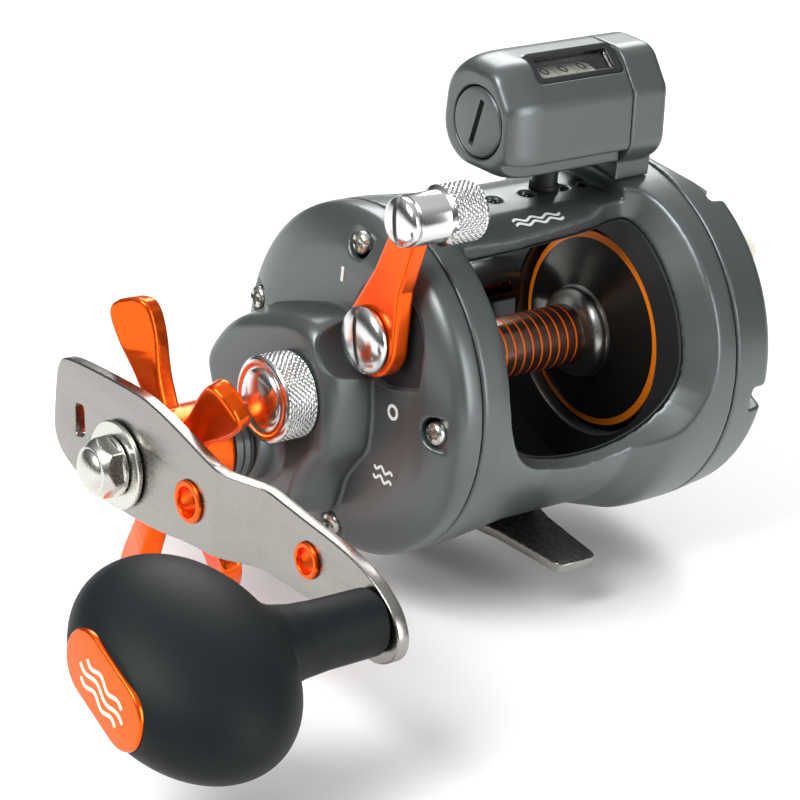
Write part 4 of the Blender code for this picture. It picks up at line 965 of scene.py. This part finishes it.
def make_tension_knob():
    """The cast-control cap: a knurled band, a raised ring and a polished dome."""
    low, high = -64.3, -57.2
    profile = [(-62.8, 0.0), (-62.8, 6.3), (-56.9, 6.3), (-56.9, 9.2)] + straight(high, low, 9.65)
    profile += [(-64.6, 9.45), (-65.0, 9.0), (-65.15, 8.5), (-65.1, 7.9), (-64.85, 7.5)]
    profile += domed(-65.0, -1.75, 7.0, 14) + [(-66.75, 0.0)]
    relief = knurl(42, 0.42, low, high, 0.118)
    emit("cast_cap", lathe(profile, SPOOL, 460, relief=relief), "tension", SILVER, ["tension_knob"],
         60.0)


def make_lever():
    """The clutch lever, its two slotted screws and its knurled thumb barrel."""
    front, back = -50.0, -45.6
    waist = (-18.6, 32.0, 4.7)
    lower = slab([hull([(*LEVER, 8.4), waist], 96)], front, back, 0.8, resolution=4)
    eye = (BARREL[0] + 0.8, BARREL[1] - 3.0, 3.9)
    upper = slab([hull([waist, eye], 96)], front, back, 0.8, resolution=4)
    lever = carved(lower, [upper], "UNION")
    lever = carved(lever, [rod(-60.0, -40.0, 3.1, LEVER)])
    emit("lever", cast(lever, 0.2, 6), "clutch", ORANGE, ["clutch_lever"], 60.0)
    start = front - 0.3
    for name, node, centre, rim, top, radius, lean in (
        ("lever_screw", "lever_pivot_screw", LEVER, -51.0, -53.6, 7.4, -16.0),
        ("barrel_cap", "barrel_screw", BARREL, -51.4, -53.4, 5.4, -12.0),
    ):
        profile = [(start, 0.0), (start, radius - 0.3), (start - 0.4, radius), (rim, radius)]
        profile += domed(rim, top - rim, radius, 12, 0.8, first=1) + [(top, 0.0)]
        head = lathe(profile, centre, 128)
        slot = slab([leaning(centre, 0.65, 1.2 * radius, lean)], top - 2.0, top + 2.0)
        emit(name, carved(head, [slot]), "clutch", SILVER, [node], 30.0)
    low, high = -41.6, -33.7
    profile = [(-33.0, 1.9), (-33.0, 5.6), (-33.25, 6.2)] + straight(high, low, 6.55)
    profile += [(-41.9, 6.2), (-42.2, 5.7), (-42.5, 5.55), (-49.9, 5.5), (-50.2, 5.2), (-50.2, 1.9)]
    relief = knurl(30, 0.38, low, high, 0.16)
    emit("barrel", lathe(profile, BARREL, 340, ring=True, relief=relief), "clutch", SILVER, ["thumb_barrel"],
         60.0)


# ------------ line counter

COUNTER = [(-6.2, 51.4, 6.2), (-7.2, 61.2, 4.2), (-2.0, 65.0, 5.8), (3.0, 60.2, 10.4), (3.0, 55.0, 10.4)]
WINDOW_TILT = math.radians(38.0)
WINDOW = (7.5, -4.4, 69.0)


def on_window(outlines, low, high, edge=0.0):
    """A flat shape laid on the tilted window, between two heights from its face."""
    mesh = slab(outlines, low, high, edge, facing="Z")
    mesh.transform(Matrix.Translation(WINDOW) @ Matrix.Rotation(WINDOW_TILT, 4, "X"))
    return mesh


def oblong(length, width, corner):
    """A rounded rectangle round the origin."""
    a, b = length / 2, width / 2
    return soften(rectangle(-a, a, -b, b), corner, True, 6)


def make_counter():
    """The counter house with its rounded nose, end cap, bezel, window, dial and post."""
    left, right, seam = -14.5, 31.2, 20.2
    work = opened(slab([hull(COUNTER, 96)], left, seam, 0.0))
    sliced(work, [(left + 0.5 * i, 0, 0) for i in range(1, 20)], (1, 0, 0))
    nose, slim = 9.5, 0.76
    narrowed(work.verts, DIAL, lambda x: slim + (1.0 - slim) * math.sqrt(
        1.0 - (1.0 - clamped((x - left) / nose)) ** 2))
    main = closed(work)
    tools = [
        on_window([oblong(21.6, 5.8, 1.2)], -9.0, 8.0),
        on_window([oblong(25.0, 8.4, 1.6)], -0.9, 8.0),
        rod(-8.6, 30.0, 10.2, DIAL, 96),
        rod(-20.0, -12.2, 8.2, DIAL, 96),
        rod(-20.0, 28.0, 1.9, DIAL),
        slab([[(-40, 40), (-9.6, 50.5), (-9.6, 40)]], left, seam + 1),
    ]
    emit("counter_body", cast(carved(main, tools), 0.3, 6), "reel_body", GUNMETAL, ["counter_housing"],
         60.0)
    cap = slab([hull(COUNTER, 96)], seam - 6.0, right, 2.4, resolution=6)
    cap = carved(cap, [block((seam - 8.0, seam + 0.25), (-30, 30), (30, 80))])
    pedestal = block((21.0, right - 0.4), (-8.5, 9.0), (36.0, 50.0))
    pedestal = carved(pedestal, [rod(10.0, 40.0, PALM_RADIUS + 0.3, SPOOL, 180)])
    cap = carved(cap, [pedestal], "UNION")
    bore = [rod(20.0, 24.0, 10.2, DIAL, 96), rod(20.0, 28.0, 1.9, DIAL)]
    emit("counter_end", cast(carved(cap, bore), 0.3, 6), "reel_body", GUNMETAL, (), 60.0)
    foot = BAR_TOP + 0.2
    post = [(foot, 0.0), (foot, 3.4), (38.2, 3.4), (38.6, 2.9), (47.0, 2.9), (47.0, 0.0)]
    post = lathe(soften(post, 0.2), (9.5, 2.0), 48, "Z")
    emit("counter_post", post, "reel_body", DARK_GUNMETAL_PAINTED_SHADE, ())
    bezel = on_window([oblong(24.6, 8.0, 1.5), oblong(20.6, 5.0, 0.9)], -0.9, 0.1, 0.25)
    emit("counter_bezel", bezel, "reel_body", BLACK, (), 40.0)
    glass = on_window([oblong(21.2, 5.5, 1.0)], -1.6, -0.95)
    emit("counter_glass", glass, body_of("counter_window"), GLASS, ["counter_window"])
    profile = [
        (24.0, 0.0), (24.0, 1.3), (-12.6, 1.3), (-12.6, 7.8), (-14.2, 7.8), (-14.6, 7.5), (-14.75, 7.0),
        (-14.75, 0.0),
    ]
    dial = lathe(profile, DIAL, 128)
    slot = slab([soften(leaning(DIAL, 0.75, 5.6, 12.0), 0.5, True)], -20.0, -13.4)
    emit("reset_knob", carved(dial, [slot]), "reset_dial", GUNMETAL, ["counter_reset_dial"],
         30.0)


def make_digits():
    """The numbers 0 to 9 round each counter wheel."""
    read_from_above = math.radians(13.0)
    facing = math.atan2(DIAL[0] - WINDOW[1], WINDOW[2] - DIAL[1]) - read_from_above
    radius = 9.6
    for number, body in ((1, "hundreds"), (2, "tens"), (3, "ones")):
        middle = middle_of(f"digit_wheel_{number}")[0]
        work = bmesh.new()
        for digit in range(10):
            text = bpy.data.curves.new("digit", "FONT")
            text.body = str(digit)
            text.size = 4.4
            text.align_x = "CENTER"
            text.align_y = "CENTER"
            text.extrude = 0.05
            mesh = applied(linked(text))
            angle = math.radians(36.0 * digit) + facing
            turn = Matrix.Rotation(angle, 4, "X")
            mesh.transform(Matrix.Translation((middle, *DIAL)) @ turn @ Matrix.Translation((0, 0, radius)))
            work.from_mesh(mesh)
        made = bpy.data.meshes.new("digits")
        work.to_mesh(made)
        work.free()
        emit(f"digits_{body}", made, body, BLACK)


# ------------ stage, light and camera

def make_stage():
    """A plain pale floor, just under the lowest point."""
    side, gap = 3.0, 0.0003
    mesh = bpy.data.meshes.new("floor")
    corners = [(x, y, 0) for x, y in rectangle(-side, side, -side, side)]
    mesh.from_pydata(corners, [], [(0, 1, 2, 3)])
    floor = bpy.data.objects.new("floor", mesh)
    floor.location.z = cad_low.z - gap
    bpy.context.scene.collection.objects.link(floor)
    mesh.materials.append(coat("pale_floor", (0.93, 0.93, 0.93), 0.7, drift=0.004, grain=400.0,
                               bump=0.01, specular=0.2))


def area_light(name, place_at, aim, size, power, tall=None):
    """A soft rectangular light turned towards a point."""
    lamp = bpy.data.lights.new(name, "AREA")
    lamp.shape = "RECTANGLE"
    lamp.size, lamp.size_y = size, tall or size
    lamp.energy = power
    item = bpy.data.objects.new(name, lamp)
    item.location = place_at
    item.rotation_euler = (Vector(aim) - Vector(place_at)).to_track_quat("-Z", "Y").to_euler()
    bpy.context.scene.collection.objects.link(item)


def make_light():
    """Soft studio light: a pale surround, a broad key, a side strip and a rim light."""
    world = bpy.data.worlds.new("studio")
    world.use_nodes = True
    nodes, links = world.node_tree.nodes, world.node_tree.links
    background = nodes["Background"]
    background.inputs["Strength"].default_value = 1.0
    place = nodes.new("ShaderNodeTexCoord")
    split = nodes.new("ShaderNodeSeparateXYZ")
    ramp = nodes.new("ShaderNodeValToRGB")
    links.new(place.outputs["Generated"], split.inputs["Vector"])
    links.new(split.outputs["Z"], ramp.inputs["Fac"])
    links.new(ramp.outputs["Color"], background.inputs["Color"])
    levels = ((0.0, 0.06), (0.25, 0.11), (0.6, 0.32), (0.9, 0.75))
    stops = ramp.color_ramp.elements
    while len(stops) < len(levels):
        stops.new(0.5)
    for stop, (height, value) in zip(stops, levels):
        stop.position = height
        stop.color = (value, value * 1.01, value * 1.02, 1.0)
    bpy.context.scene.world = world
    aim = (-0.03, 0.0, 0.05)
    area_light("key", (-0.65, -0.10, 0.70), aim, 0.45, 9.0)
    area_light("side", (0.25, -0.85, 0.30), aim, 0.25, 4.0, tall=0.6)
    area_light("rim", (0.45, 0.55, 0.6), aim, 0.5, 6.0)
    bpy.context.scene.view_settings.view_transform = "Standard"


def make_camera():
    """The camera: rear left of the reel and above it, with a long lens."""
    lens = bpy.data.cameras.new("camera")
    lens.lens = 146.0
    lens.sensor_width = 36.0
    lens.clip_start = 0.01
    camera = bpy.data.objects.new("camera", lens)
    right, down, forward = (0.7914, -0.6018, 0.1077), (-0.1789, -0.3964, -0.9005), (0.5846, 0.6933, -0.4214)
    turn = Matrix((right, [-n for n in down], [-n for n in forward])).transposed()
    place_at = (-0.4481, -0.5001, 0.3351)
    camera.matrix_world = Matrix.Translation(place_at) @ turn.to_4x4()
    bpy.context.scene.collection.objects.link(camera)
    bpy.context.scene.camera = camera


dress_nodes()
make_frame()
make_bar_screws()
make_foot()
make_handle_cover()
make_palm_cover()
make_marks()
make_spool()
make_levelwind()
make_star()
make_collars()
make_arm()
make_nut()
make_knob()
make_tension_knob()
make_lever()
make_counter()
make_digits()
make_stage()
make_light()
make_camera()
